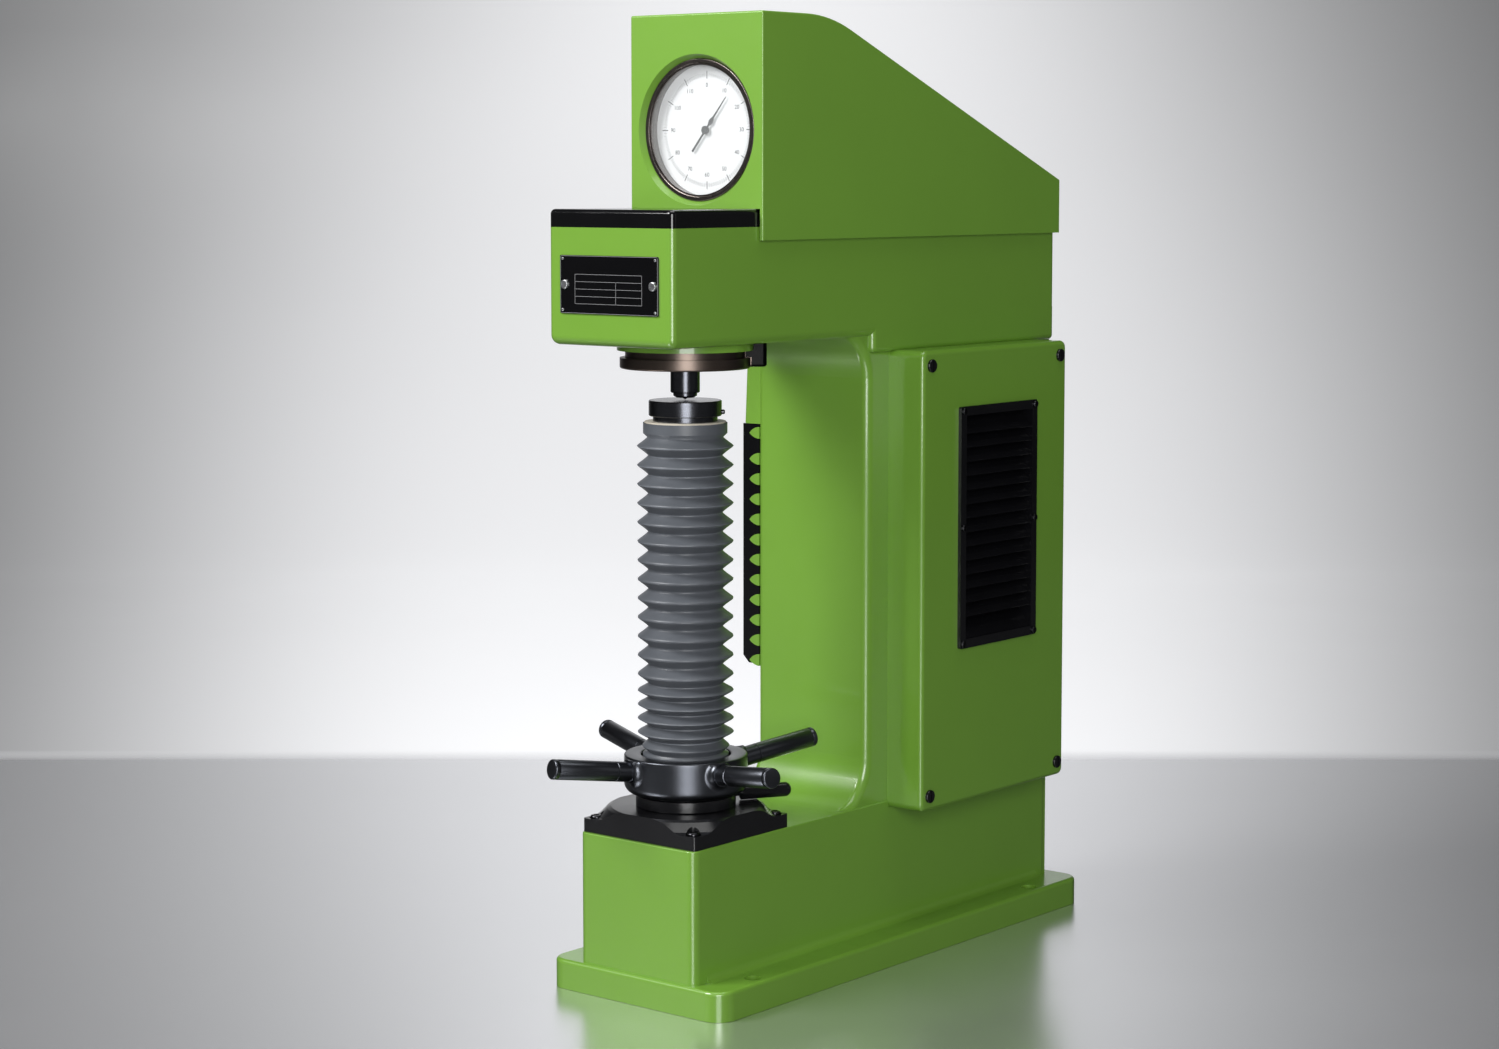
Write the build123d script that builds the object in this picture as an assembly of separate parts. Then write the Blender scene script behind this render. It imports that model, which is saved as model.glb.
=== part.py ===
"""Raised bench hardness tester with a motorised dead-weight load and a round dial.

Millimetres. The origin is on the bench, under the test axis. +Z is up, -Y is the front
where the operator stands, and +X is the side that carries the electrics box.
"""
import os
from math import atan2, cos, degrees, hypot, pi, radians, sin, sqrt, tan

from build123d import *

# Fits and clearances
running = 0.05
seat_gap = 0.3
push_fit = 0.1

# Base plate
base_half_width = 116.5
base_front = -84.0
base_rear = 568.0
base_thickness = 30.5
base_corner = 21.0
base_edge = 4.0
anchor_hole = 9.0
anchor_x = 101.0
anchor_front = -15.0
anchor_rear = 482.0
base_fillet = 8.0

# Casting: lower body, column and head
lower_half_width = 77.0
lower_front = -79.0
lower_top = 166.5
lower_corner = 9.5
column_half_width = 75.5
column_front = 209.0
column_rear = 553.0
throat_low_radius = 50.0
throat_high_radius = 45.0
throat_edge = 9.0
head_half_width = 82.0
head_front = -114.5
head_bottom = 668.0
head_top = 785.5
head_corner = 6.5
head_bottom_edge = 9.0
shoulder_height = 18.0
shoulder_edge = 6.0
boss_radius = 69.5
boss_height = 7.5
wall = 10.0
wire_hole = 14.0
wire_y = 300.0
wire_z = 250.0
casting_floor = 16.0
head_floor = 14.0
lower_roof = 16.5

# Sheet-metal hood
sheet = 1.5
hood_half_width = 87.5
hood_front = 17.0
hood_rear = 554.5
hood_bottom = 772.0
hood_rise = 214.5
hood_rear_rise = 46.4
hood_slope = 21.5
hood_crown = 200.0
hood_edge = 2.0
hood_lip = 11.0
hood_lip_start = 90.0

# Head top cover and nameplate
cap_height = 18.0
cap_edge = 5.0
cap_wall = 2.5
plate_half_width = 64.5
plate_height = 58.0
plate_drop = 27.5
plate_thickness = 1.6
plate_screw_x = 58.0
plate_pin_inset = 3.5
plate_pin_head = 0.4

# Dial
dial_rise = 97.2
dial_opening = 72.5
dial_lip = 6.0
dial_bevel = 4.0
dial_bevel_depth = 6.0
bezel_setback = 5.0
dial_depth = 18.0
bezel_wall = 5.0
glass_thickness = 2.0
face_thickness = 1.5
case_wall = 3.0
case_depth = 36.0
pointer_length = 42.5
pointer_tail = 28.0
pointer_angle = 39.0
pointer_thickness = 0.8
arbor_radius = 1.5
pointer_hub = 4.3
bezel_lip = 1.5
bridge_depth = 50.0
bridge_saddle = 14.0
bridge_inset = 7.0
bridge_post_half = 18.0
bridge_post = 12.0

# Electrics box on the right side
box_front = 245.0
box_rear = 520.0
box_bottom = 158.0
box_top = 652.0
box_depth = 30.5
box_lid = 15.0
box_corner = 8.0
box_edge = 5.0
box_wall = 2.0
box_screw_inset_y = 14.5
box_screw_inset_z = 16.0
box_screw_head = 7.0
grille_front = 310.0
grille_rear = 456.0
grille_bottom = 327.0
grille_top = 589.5
grille_proud = 4.0
grille_rim = 10.0
grille_margin = 8.0
grille_skirt = 12.0
grille_skirt_wall = 1.5
louvre_first = 24.0
louvre_last = 19.6
louvres = 12
louvre_depth = 18.5
blank_depth = 25.0
slat_thickness = 1.6
slat_tilt = 50.0

# Left vent cover
vent_depth = 22.5
vent_front = 213.0
vent_rear = 470.0
vent_bottom = 303.0
vent_top = 567.0
vent_wall = 2.0
vent_chamfer = 8.0
vent_screen_inset = 30.0
vent_slot_first = 35.0
vent_slots = 12
vent_slot_half = 3.0
vent_opening_inset = 40.0
pad_depth = 21.5
pad_top_depth = 17.0
pad_edge = 4.0
fins = 11
fin_pitch = 22.15
fin_first = 557.0
fin_second = 528.5
fin_reach = 11.5
fin_up = 6.8
fin_down = 5.8
fin_steps = 5
fin_thickness = 2.5

# Rear cover
rear_cover_half_width = 60.0
rear_cover_bottom = 60.0
rear_cover_top = 610.0
rear_cover_thickness = 2.0
rear_cover_margin = 10.0

# Screw flange, lock ring and handwheel
flange_half = 75.0
flange_thickness = 14.0
flange_corner = 3.0
flange_rise = 12.0
flange_flat = 77.0
flange_scoop = 93.0
flange_scoop_steps = 4
flange_screw_offset = 65.0
neck_radius = 40.0
neck_top = 205.0
lock_radius = 51.5
lock_angle = 59.0
lock_rod = 7.5
lock_pin = 3.5
lock_pin_length = 17.0
lock_rise = 1.6
lock_reach = 115.0
hub_radius = 63.5
hub_foot = 51.0
hub_top = 246.0
hub_recess = 46.0
hub_recess_depth = 5.5
spokes = 4
spoke_first = 72.8
spoke_radius = 10.25
spoke_reach = 162.2
spoke_tilt = 8.0
spoke_height = 224.0
spoke_root = 52.0
boss_reach = 70.0
boss_tip = 13.0

# Elevating screw, nut and bearing
screw_radius = 25.0
screw_bottom = 168.0
key_width = 6.0
key_depth = 4.0
key_height = 14.0
sleeve_radius = 33.0
sleeve_bottom = 100.0
nut_radius = 36.0
nut_height = 21.5
race_inner = 27.0
race_outer = 38.0
race_thickness = 2.5
ball_radius = 2.8
balls = 20

# Anvil stack and bellows
cuff_bottom = 574.0
cuff_top = 586.5
cuff_radius = 42.5
screw_top = 588.0
collar_radius = 33.0
collar_height = 5.5
anvil_radius = 37.25
anvil_thickness = 16.0
anvil_stem = 9.5
anvil_stem_length = 30.0
bellows_outer = 49.5
bellows_valley = 38.0
bellows_wall = 1.6
bellows_foot = 44.0
bellows_foot_height = 5.0
bellows_folds = 18
bellows_low_share = 0.65

# Spindle and indenter
indenter_gap = 0.5
indenter_radius = 12.0
holder_radius = 15.0
holder_bottom = 614.5
holder_height = 27.5
holder_foot = 12.2
holder_foot_height = 2.5
holder_screw_rise = 18.0
bush_ring = 66.5
bush_ring_height = 11.0
bush_step = 61.0
bush_tube = 30.0
bush_rise = 48.0
bush_lug_angle = 45.0
bush_lug_reach = 83.0
bush_lug_half = 9.0
spindle_radius = 15.0
spindle_collar = 22.0
spindle_tip = 0.9
arm_thickness = 4.0
arm_half_width = 9.0
arm_x = 30.0
arm_y = 50.0
arm_post_radius = 4.0
arm_post_gap = 1.6
stem_radius = 8.0
indenter_stem = 3.15
indenter_stem_length = 21.0
set_screw_radius = 2.5
set_screw_length = 8.0
anvil_screw_angle = 40.0
anvil_screw_rise = 3.7
anvil_screw_proud = 3.2
plunger_radius = 3.0
plunger_length = 60.7

# Load lever and its fulcrum
lever_half_width = 13.0
lever_rise = 4.0
lever_height = 24.0
lever_front = -66.0
lever_rear = 522.0
fulcrum_y = -48.0
fulcrum_radius = 6.0
cheek_thickness = 9.0
cheek_half_length = 15.0
knife_y = 0.0
knife_gap = 1.6

# Weights, cam drive and damper in the column
hanger_y = 440.0
hanger_rod = 5.0
hanger_slot = 7.5
hanger_cap = 11.0
hanger_bottom = 318.0
weight_radius = 52.0
weight_thickness = 30.0
weights = 3
weight_gap = 0.3
cam_y = 330.0
cam_z = 560.0
cam_high = 28.0
cam_low = 23.0
cam_turn = 150.0
cam_run_in = 12.0
cam_half_width = 6.0
cam_gap = 0.3
cam_shaft = 5.0
motor_right = -10.5
roller_radius = 7.0
push_rod_radius = 5.0
guide_z = 660.0
guide_height = 24.0
guide_half_width = 12.0
guide_rear = 14.0
motor_radius = 21.0
motor_length = 34.0
gearbox_radius = 24.0
gearbox_length = 14.0
motor_plate = 4.0
bracket_rear = 45.0
bracket_half_height = 35.0
bracket_foot = 30.0
damper_y = 506.0
damper_bottom = 560.0
damper_height = 100.0
damper_outer = 20.0
damper_bore = 17.0
damper_rod_radius = 3.0
piston_height = 8.0
piston_rise = 60.0
damper_lug = 24.0

# Electrics
board_gap = 6.0
board_thickness = 1.6
board_inset = 32.0
board_low = 120.0
board_high = 30.0
board_post = 3.0
board_post_inset = 8.0
chips = 3
chip_size = (11.0, 40.0, 40.0)
chip_inset = 38.0
chip_pitch = 90.0
transformer_size = (44.0, 56.0, 48.0)
entry_z = 222.0
entry_half = (12.0, 34.0)
entry_depth = 30.0
entry_flange = 3.0
entry_proud = 2.5
inlet_drop = 14.0
inlet_half = (7.0, 12.0)
rocker_rise = 19.0
rocker_half = (6.0, 5.0, 9.0)
rocker_pin = 1.5
rocker_room = 2.0

# Values that follow from the sizes above
box_x = column_half_width
box_split = box_x + box_depth
box_face = box_split + box_lid
anvil_bottom = screw_top + collar_height
anvil_top = anvil_bottom + anvil_thickness
boss_bottom = head_bottom - boss_height
bush_ring_bottom = holder_bottom + holder_height
column_inner_front = column_front + wall
column_inner_rear = column_rear - wall
column_inner_half = column_half_width - wall
head_inner_half = head_half_width - wall
head_inner_bottom = head_bottom + head_floor
hood_top = head_top + hood_rise
hood_rear_top = head_top + hood_rear_rise
dial_height = head_top + dial_rise
bush_top = head_inner_bottom + bush_rise
arm_bottom = bush_top + running + arm_thickness
spindle_top = arm_bottom + arm_thickness + spindle_tip
lever_bottom = spindle_top + lever_rise
lever_top = lever_bottom + lever_height
lever_axis = lever_bottom + lever_height / 2
cap_top = head_top + cap_height
plate_top = head_top - plate_drop
plate_bottom = plate_top - plate_height
plate_face = head_front - plate_thickness
face_y = hood_front + dial_depth
case_radius = dial_opening + dial_lip
arm_post_top = (dial_height - sqrt(case_radius**2 - (arm_x - arm_post_radius)**2)
                - arm_post_gap)
plunger_top = arm_post_top + seat_gap + plunger_length
glass_front = hood_front + bezel_setback + 2.0
flange_top = lower_top + flange_thickness + flange_rise
bridge_top = head_top + 6.0
sleeve_top = lower_top + 10.0
key_top = sleeve_top + key_height
bearing_top = neck_top + 2 * race_thickness + 2 * ball_radius + 2 * running
nut_bottom = bearing_top + seat_gap
nut_top = nut_bottom + nut_height
case_front = hood_front + 8.0 + seat_gap
knife_tip = spindle_top + knife_gap
entry_x = box_x + box_depth / 2
rocker_z = entry_z + rocker_rise
rocker_y = box_rear + entry_proud - rocker_half[1] + 1.5
aims = {
    "+X": Rot(0, 90, 0),
    "-X": Rot(0, -90, 0),
    "+Y": Rot(-90, 0, 0),
    "-Y": Rot(90, 0, 0),
    "+Z": Rot(0, 0, 0),
}


def block(x, y, z):
    """A box between two places along each axis."""
    size = [high - low for low, high in (x, y, z)]
    middle = [(high + low) / 2 for low, high in (x, y, z)]
    return Pos(*middle) * Box(*size)


def wide(half, y, z):
    """A box that is centred across the machine."""
    return block((-half, half), y, z)


def disc(radius, low, high, x=0.0, y=0.0):
    """An upright cylinder."""
    return Pos(x, y, (low + high) / 2) * Cylinder(radius, high - low)


def rod_x(radius, low, high, y, z):
    return Pos((low + high) / 2, y, z) * Rot(0, 90, 0) * Cylinder(radius, high - low)


def rod_y(radius, low, high, x, z):
    return Pos(x, (low + high) / 2, z) * Rot(90, 0, 0) * Cylinder(radius, high - low)


def turned(points):
    """A turned piece from its half outline of radius and height."""
    outline = make_face(Polyline(*points, points[0]))
    return revolve(Plane.XZ * outline, Axis.Z)


def side_slab(outline, half):
    """A flat outline in Y and Z, thickened to both sides of the middle."""
    return extrude(Plane.YZ * outline, half, both=True)


def along(shape, axis):
    return shape.edges().filter_by(axis)


def last_face(shape, axis):
    return shape.faces().sort_by(axis)[-1]


def first_face(shape, axis):
    return shape.faces().sort_by(axis)[0]


def screw(head, height, shank, length, slot=0.0):
    """A pan-head screw that points up, its head standing on the XY plane."""
    cap = Pos(0, 0, height / 2) * Cylinder(head, height)
    cap = fillet(last_face(cap, Axis.Z).edges(), height * 0.4)
    if slot:
        cap -= Pos(0, 0, height) * Box(head * 3, slot, height)
    return cap + Pos(0, 0, -length / 2) * Cylinder(shank, length)


def placed(shape, aim, places):
    """Copies of one fastener, all turned the same way, as separate solids."""
    return Compound(children=[Pos(*place) * aims[aim] * shape for place in places])


def holes(radius, depth, aim, places):
    """Cutters for the shanks of a group of fasteners."""
    cutter = Pos(0, 0, -depth / 2) * Cylinder(radius, depth)
    return [Pos(*place) * aims[aim] * cutter for place in places]


def cut_all(shape, cutters):
    for cutter in cutters:
        shape = shape - cutter
    return shape


def corners(x, y, z):
    """The four corners of a rectangle, one axis being a single value."""
    return [(a, b, c) for a in x for b in y for c in z]


# Fastener sizes and places
pin_radius = 1.0
plate_screws = corners((-plate_screw_x, plate_screw_x), (plate_face,),
                       ((plate_bottom + plate_top) / 2,))
plate_pins = corners((plate_pin_inset - plate_half_width, plate_half_width - plate_pin_inset),
                     (plate_face,),
                     (plate_bottom + plate_pin_inset, plate_top - plate_pin_inset))
plate_screw_head = 4.5
plate_shank = 2.5
plate_shank_length = 6.0
box_screws = corners((box_face,), (box_front + box_screw_inset_y, box_rear - box_screw_inset_y),
                     (box_bottom + box_screw_inset_z, box_top - box_screw_inset_z))
box_shank = 3.0
grille_screws_at = corners((box_face + grille_proud,),
                           (grille_front + grille_rim / 2, grille_rear - grille_rim / 2),
                           (grille_bottom + grille_rim / 2, grille_top - grille_rim / 2,
                            (grille_bottom + grille_top) / 2))
grille_head = 3.8
grille_shank = 1.5
vent_flange = 8.0
vent_x = -column_half_width - vent_depth
vent_screws_at = corners((vent_x,), (vent_front + vent_flange, vent_rear - vent_flange),
                         (vent_bottom + vent_flange + vent_chamfer, vent_top - vent_flange))
vent_head = 3.5
vent_shank = 2.0
rear_face = column_rear + rear_cover_thickness
rear_screws_at = corners((rear_cover_margin / 2 - rear_cover_half_width,
                          rear_cover_half_width - rear_cover_margin / 2), (rear_face,),
                         (rear_cover_bottom + rear_cover_margin / 2,
                          rear_cover_top - rear_cover_margin / 2))
rear_head = 3.5
rear_shank = 2.0
flange_screws_at = corners((-flange_screw_offset, flange_screw_offset),
                           (-flange_screw_offset, flange_screw_offset),
                           (lower_top + flange_thickness,))
flange_head = 6.5
flange_head_height = 6.0
flange_head_sunk = 3.0
flange_shank = 4.0
flange_shank_length = flange_thickness + 10.0
thread_depth = 7.0


def frame_casting():
    base = wide(base_half_width, (base_front, base_rear), (0, base_thickness))
    base = fillet(along(base, Axis.Z), base_corner)
    base = fillet(last_face(base, Axis.Z).edges(), base_edge)

    lower = wide(lower_half_width, (lower_front, column_rear), (base_thickness / 2, lower_top))
    lower = fillet(along(lower, Axis.Z), lower_corner)
    lower = fillet(last_face(lower, Axis.Z).edges(), 1.5)

    spine = column_with_throat()

    head = wide(head_half_width, (head_front, column_rear), (head_bottom, head_top))
    head = fillet(along(head, Axis.Z), head_corner)
    head = fillet(first_face(head, Axis.Z).edges(), head_bottom_edge)

    shoulder = wide(head_half_width, (column_front, column_rear),
                    (head_bottom - shoulder_height, head_bottom + wall * 2))
    shoulder = fillet(along(shoulder, Axis.Z), shoulder_edge)
    shoulder = fillet(first_face(shoulder, Axis.Z).edges(), shoulder_edge)

    shape = base + lower + spine + head + shoulder + left_pad()
    shape += vent_fin(fin_first)
    for number in range(fins):
        shape += vent_fin(fin_second - number * fin_pitch)
    shape += disc(boss_radius, boss_bottom, head_bottom + head_floor / 2)
    for side in (-1, 1):
        shape += base_root(side)
    return casting_cavities(shape)


def left_pad():
    """The cast housing on the left side, above the vent cover."""
    inner = -column_inner_half - 1
    low = -column_half_width - pad_depth
    high = -column_half_width - pad_top_depth
    outline = make_face(Polyline((inner, vent_top), (low, vent_top), (high, head_bottom + 2),
                                 (inner, head_bottom + 2), (inner, vent_top)))
    shape = Pos(0, vent_front, 0) * extrude(Plane.XZ * outline, vent_front - vent_rear)
    outer = [edge for edge in shape.edges() if edge.center().X < high + 1]
    corner = [edge for edge in outer if edge.length > 50 and edge.center().Z > vent_top + 10]
    corner += [edge for edge in outer if edge.center().Z < vent_top + 1]
    return fillet(corner, pad_edge)


def vent_fin(height):
    """A small leaf-shaped fin at the column's left front edge, in front of the vent cover."""
    points = []
    for step in range(-fin_steps, fin_steps + 1):
        share = 1 - abs(step) / fin_steps
        side = fin_up if step > 0 else -fin_down
        points.append((-column_half_width - fin_reach * share,
                       height + side * (1 - share**1.5)**0.75))
    root = 2 - column_half_width
    points += [(root, height + fin_up), (root, height - fin_down)]
    outline = make_face(Polyline(*points, points[0]))
    fin = extrude(Plane.XZ * outline, -fin_thickness)
    return Pos(0, vent_front - fin_thickness - seat_gap, 0) * fin


def column_with_throat():
    """The C in side view, with its two throat arcs and rounded front edges."""
    start = 100.0
    roof = head_bottom + wall
    outline = make_face(Polyline(
        (start, base_thickness), (start, lower_top), (column_front, lower_top),
        (column_front, head_bottom), (0, head_bottom), (0, roof), (column_rear, roof),
        (column_rear, base_thickness), (start, base_thickness)))
    low = outline.vertices().sort_by_distance((column_front, lower_top, 0))[0]
    outline = fillet(low, throat_low_radius)
    high = outline.vertices().sort_by_distance((column_front, head_bottom, 0))[0]
    outline = fillet(high, throat_high_radius)
    spine = side_slab(outline, column_half_width)
    front = [edge for edge in spine.edges() if in_throat(edge.center())]
    return fillet(front, throat_edge)


def in_throat(point):
    beside = abs(abs(point.X) - column_half_width) < 0.5
    between = lower_top + 1 < point.Z < head_bottom - 1
    return beside and between and point.Y < column_front + 1


def base_root(side):
    """The hollow fillet where the lower body grows out of the base plate."""
    inner = lower_half_width - 1
    edge = lower_half_width + base_fillet
    strip = block((inner, edge), (lower_front + base_corner, column_rear - base_corner),
                  (base_thickness - 1, base_thickness + base_fillet))
    strip -= rod_y(base_fillet, lower_front, column_rear, edge, base_thickness + base_fillet)
    return strip if side > 0 else mirror(strip, Plane.YZ)


def casting_cavities(shape):
    well_top = lower_top - lower_roof
    shape -= wide(column_inner_half, (lower_front + wall, column_inner_rear),
                  (casting_floor, well_top))
    shape -= wide(column_inner_half, (column_inner_front, column_inner_rear),
                  (casting_floor, head_top + 1))
    shape -= wide(head_inner_half, (head_front + wall, column_inner_rear),
                  (head_inner_bottom, head_top + 1))
    shape -= block((box_x, head_half_width + 1), (box_front, box_rear), (box_bottom, box_top))
    opening = rear_cover_half_width - rear_cover_margin
    shape -= wide(opening, (column_inner_rear - 1, column_rear + 1),
                  (rear_cover_bottom + rear_cover_margin, rear_cover_top - rear_cover_margin))
    shape -= block((-column_half_width - 1, 1 - column_inner_half),
                   (vent_front + vent_opening_inset, vent_rear - vent_screen_inset),
                   (vent_bottom + vent_screen_inset, vent_top - vent_screen_inset))
    shape -= rod_x(wire_hole, column_inner_half - 1, column_half_width + 1, wire_y, wire_z)
    shape -= disc(sleeve_radius + running, well_top - 1, lower_top + 1)
    shape -= disc(bush_tube + running, boss_bottom - 1, head_inner_bottom + 1)
    for place in corners((-anchor_x, anchor_x), (anchor_front, anchor_rear), (0,)):
        shape -= Pos(*place) * Cylinder(anchor_hole, base_thickness * 3)
    shape = cut_all(shape, holes(plate_shank, plate_shank_length + 4, "-Y", plate_screws))
    shape = cut_all(shape, holes(pin_radius, plate_shank_length + 4, "-Y", plate_pins))
    shape = cut_all(shape, holes(flange_shank, flange_shank_length + 2, "+Z", flange_screws_at))
    shape = cut_all(shape, holes(rear_shank, rear_cover_thickness + thread_depth + 1, "+Y",
                                 rear_screws_at))
    shape = cut_all(shape, holes(box_shank, box_face - column_half_width + thread_depth + 1,
                                 "+X", box_screws))
    shape = cut_all(shape, holes(vent_shank, vent_depth + thread_depth + 1, "-X", vent_screws_at))
    return shape


def hood_outline(bottom):
    """The hood in side view: flat crown, one large arc, straight slope, upright back."""
    fall = tan(radians(hood_slope))
    bend = hood_rear - (hood_top - hood_rear_top) / fall
    outline = make_face(Polyline(
        (hood_front, bottom), (hood_front, hood_top), (bend, hood_top),
        (hood_rear, hood_rear_top), (hood_rear, bottom), (hood_front, bottom)))
    crown = outline.vertices().sort_by_distance((bend, hood_top, 0))[0]
    return fillet(crown, hood_crown)


def hood():
    shape = side_slab(hood_outline(hood_bottom), hood_half_width)
    rims = [edge for edge in shape.edges() if edge.center().Z > hood_bottom + 1]
    shape = fillet(rims, hood_edge)
    room = offset(hood_outline(hood_bottom - sheet * 4), -sheet, kind=Kind.INTERSECTION)
    shape -= side_slab(room, hood_half_width - sheet)
    shape += rod_y(case_radius, hood_front, hood_front + 8, 0, dial_height)
    shape -= rod_y(dial_opening, hood_front - 1, hood_front + 10, 0, dial_height)
    bevel = Cone(dial_opening, dial_opening + dial_bevel, dial_bevel_depth)
    shape -= Pos(0, hood_front + dial_bevel_depth / 2, dial_height) * Rot(90, 0, 0) * bevel
    for side in (-1, 1):
        outer = side * (hood_half_width - sheet / 2)
        inner = side * (hood_half_width - hood_lip)
        shape += block(sorted((inner, outer)), (hood_front + hood_lip_start, hood_rear - sheet / 2),
                       (head_top, head_top + sheet))
    notch = wide(head_half_width + 2, (hood_front - 1, hood_front + sheet + 1),
                 (hood_bottom - 1, cap_top))
    return shape - notch


def head_top_cover():
    shape = wide(head_half_width, (head_front, hood_front), (head_top, cap_top))
    front = along(shape, Axis.Z).sort_by(Axis.Y)[:2]
    shape = fillet(front, head_corner)
    rims = [edge for edge in last_face(shape, Axis.Z).edges() if edge.center().Y < hood_front - 1]
    shape = fillet(rims, cap_edge)
    room = wide(head_half_width - wall, (head_front + wall, hood_front + 1),
                (head_top - 1, cap_top - cap_wall))
    return shape - room


def nameplate():
    shape = wide(plate_half_width, (plate_face, head_front), (plate_bottom, plate_top))
    shape = fillet(along(shape, Axis.Y), 1.5)
    shape = cut_all(shape, holes(plate_shank, plate_thickness * 2, "-Y", plate_screws))
    return cut_all(shape, holes(pin_radius, plate_thickness * 2, "-Y", plate_pins))


def nameplate_screws():
    round_head = screw(plate_screw_head, 2.2, plate_shank - push_fit, plate_shank_length, 0.9)
    pin = screw(pin_radius + plate_pin_head, 0.8, pin_radius - push_fit, plate_shank_length)
    return Compound(children=[*placed(round_head, "-Y", plate_screws).solids(),
                              *placed(pin, "-Y", plate_pins).solids()])


def tray(x, y, z, corner):
    shape = block(x, y, z)
    return fillet(along(shape, Axis.X), corner)


def side_box_body():
    shape = tray((box_x, box_split), (box_front, box_rear), (box_bottom, box_top), box_corner)
    room = tray((box_x + box_wall, box_split + 1),
                (box_front + box_wall, box_rear - box_wall),
                (box_bottom + box_wall, box_top - box_wall), box_corner - box_wall)
    shape -= room
    for place in box_screws:
        post = rod_x(box_screw_head, box_x + box_wall / 2, box_split, place[1], place[2])
        shape += post
    shape -= rod_x(wire_hole, box_x - 1, box_x + box_wall + 1, wire_y, wire_z)
    shape -= entry_block(entry_half[0] + push_fit, entry_half[1] + push_fit,
                         (box_rear - box_wall - 1, box_rear + 1))
    return cut_all(shape, holes(box_shank, box_face, "+X", box_screws))


def entry_block(half_x, half_z, y):
    """A block around the middle of the mains entry in the rear of the box."""
    return block((entry_x - half_x, entry_x + half_x), y, (entry_z - half_z, entry_z + half_z))


def side_box_cover():
    shape = tray((box_split, box_face), (box_front, box_rear), (box_bottom, box_top), box_corner)
    shape = fillet(last_face(shape, Axis.X).edges(), box_edge)
    room = tray((box_split - 1, box_face - box_wall),
                (box_front + box_wall, box_rear - box_wall),
                (box_bottom + box_wall, box_top - box_wall), box_corner - box_wall)
    shape -= room
    shape -= block((box_face - box_wall - 1, box_face + 1),
                   (grille_front + grille_margin, grille_rear - grille_margin),
                   (grille_bottom + grille_margin, grille_top - grille_margin))
    for place in box_screws:
        post = rod_x(box_screw_head, box_split, box_face - box_wall / 2, place[1], place[2])
        shape += post
    shape = cut_all(shape, holes(box_shank, box_lid * 2, "+X", box_screws))
    return cut_all(shape, holes(grille_shank, grille_proud + thread_depth, "+X",
                                grille_screws_at))


def box_cover_screws():
    length = box_face - column_half_width + thread_depth
    return placed(screw(box_screw_head, 3.2, box_shank - push_fit, length, 1.6), "+X", box_screws)


def vent_grille():
    """A rim with a skirt behind it, and tilted louvres between two deeper blank ones."""
    front = box_face + grille_proud
    inner = (grille_front + grille_rim, grille_rear - grille_rim)
    low = grille_bottom + grille_rim
    high = grille_top - grille_rim
    wall_out = grille_skirt_wall
    shape = block((box_face, front), (grille_front, grille_rear), (grille_bottom, grille_top))
    shape = fillet(along(shape, Axis.X), 3.0)
    shape += block((box_face - grille_skirt, box_face + 1),
                   (inner[0] - wall_out, inner[1] + wall_out), (low - wall_out, high + wall_out))
    shape -= block((box_face - grille_skirt - 1, front + 1), inner, (low, high))
    first = low + louvre_first
    last = high - louvre_last
    edges = [(low, blank_depth), (last, blank_depth)]
    for number in range(louvres + 1):
        edges.append((first + (last - first) / (louvres + 1) * number, louvre_depth))
    for edge, depth in edges:
        slat = Pos(-depth / 2, 0, 0) * Box(depth, inner[1] - inner[0] + 2, slat_thickness)
        place = Pos(front - slat_thickness, (inner[0] + inner[1]) / 2, edge)
        shape += place * Rot(0, slat_tilt, 0) * slat
    return cut_all(shape, holes(grille_shank, grille_proud * 2, "+X", grille_screws_at))


def grille_screws():
    length = grille_proud + box_wall + 3
    return placed(screw(grille_head, 2.4, grille_shank - push_fit, length, 0.9), "+X",
                  grille_screws_at)


def left_vent_cover():
    inner_x = -column_half_width
    shape = block((vent_x, inner_x), (vent_front, vent_rear), (vent_bottom, vent_top))
    outer_low = along(shape, Axis.Y).sort_by(Axis.X)[:2].sort_by(Axis.Z)[0]
    shape = chamfer(outer_low, vent_chamfer)
    room = block((vent_x + vent_wall, inner_x + 1), (vent_front + vent_wall, vent_rear - vent_wall),
                 (vent_bottom + vent_chamfer, vent_top - vent_wall))
    shape -= room
    pitch = (vent_top - vent_bottom - vent_slot_first * 2) / vent_slots
    for number in range(vent_slots):
        height = vent_bottom + vent_slot_first + pitch * (number + 0.5)
        shape -= block((vent_x - 1, vent_x + vent_wall + 1),
                       (vent_front + vent_screen_inset, vent_rear - vent_screen_inset),
                       (height - vent_slot_half, height + vent_slot_half))
    for place in vent_screws_at:
        shape += rod_x(vent_head + 1, vent_x + vent_wall / 2, inner_x, place[1], place[2])
    return cut_all(shape, holes(vent_shank, vent_depth * 2, "-X", vent_screws_at))


def small_cover_screws():
    """The screws of the left vent cover and of the rear cover."""
    vent = screw(vent_head, 1.8, vent_shank - push_fit, vent_depth + thread_depth, 0.8)
    rear = screw(rear_head, 1.8, rear_shank - push_fit, rear_cover_thickness + thread_depth, 0.8)
    return Compound(children=[*placed(vent, "-X", vent_screws_at).solids(),
                              *placed(rear, "+Y", rear_screws_at).solids()])


def rear_cover():
    shape = wide(rear_cover_half_width, (column_rear, rear_face),
                 (rear_cover_bottom, rear_cover_top))
    shape = fillet(along(shape, Axis.Y), 6.0)
    return cut_all(shape, holes(rear_shank, rear_cover_thickness * 2, "+Y", rear_screws_at))


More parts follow.
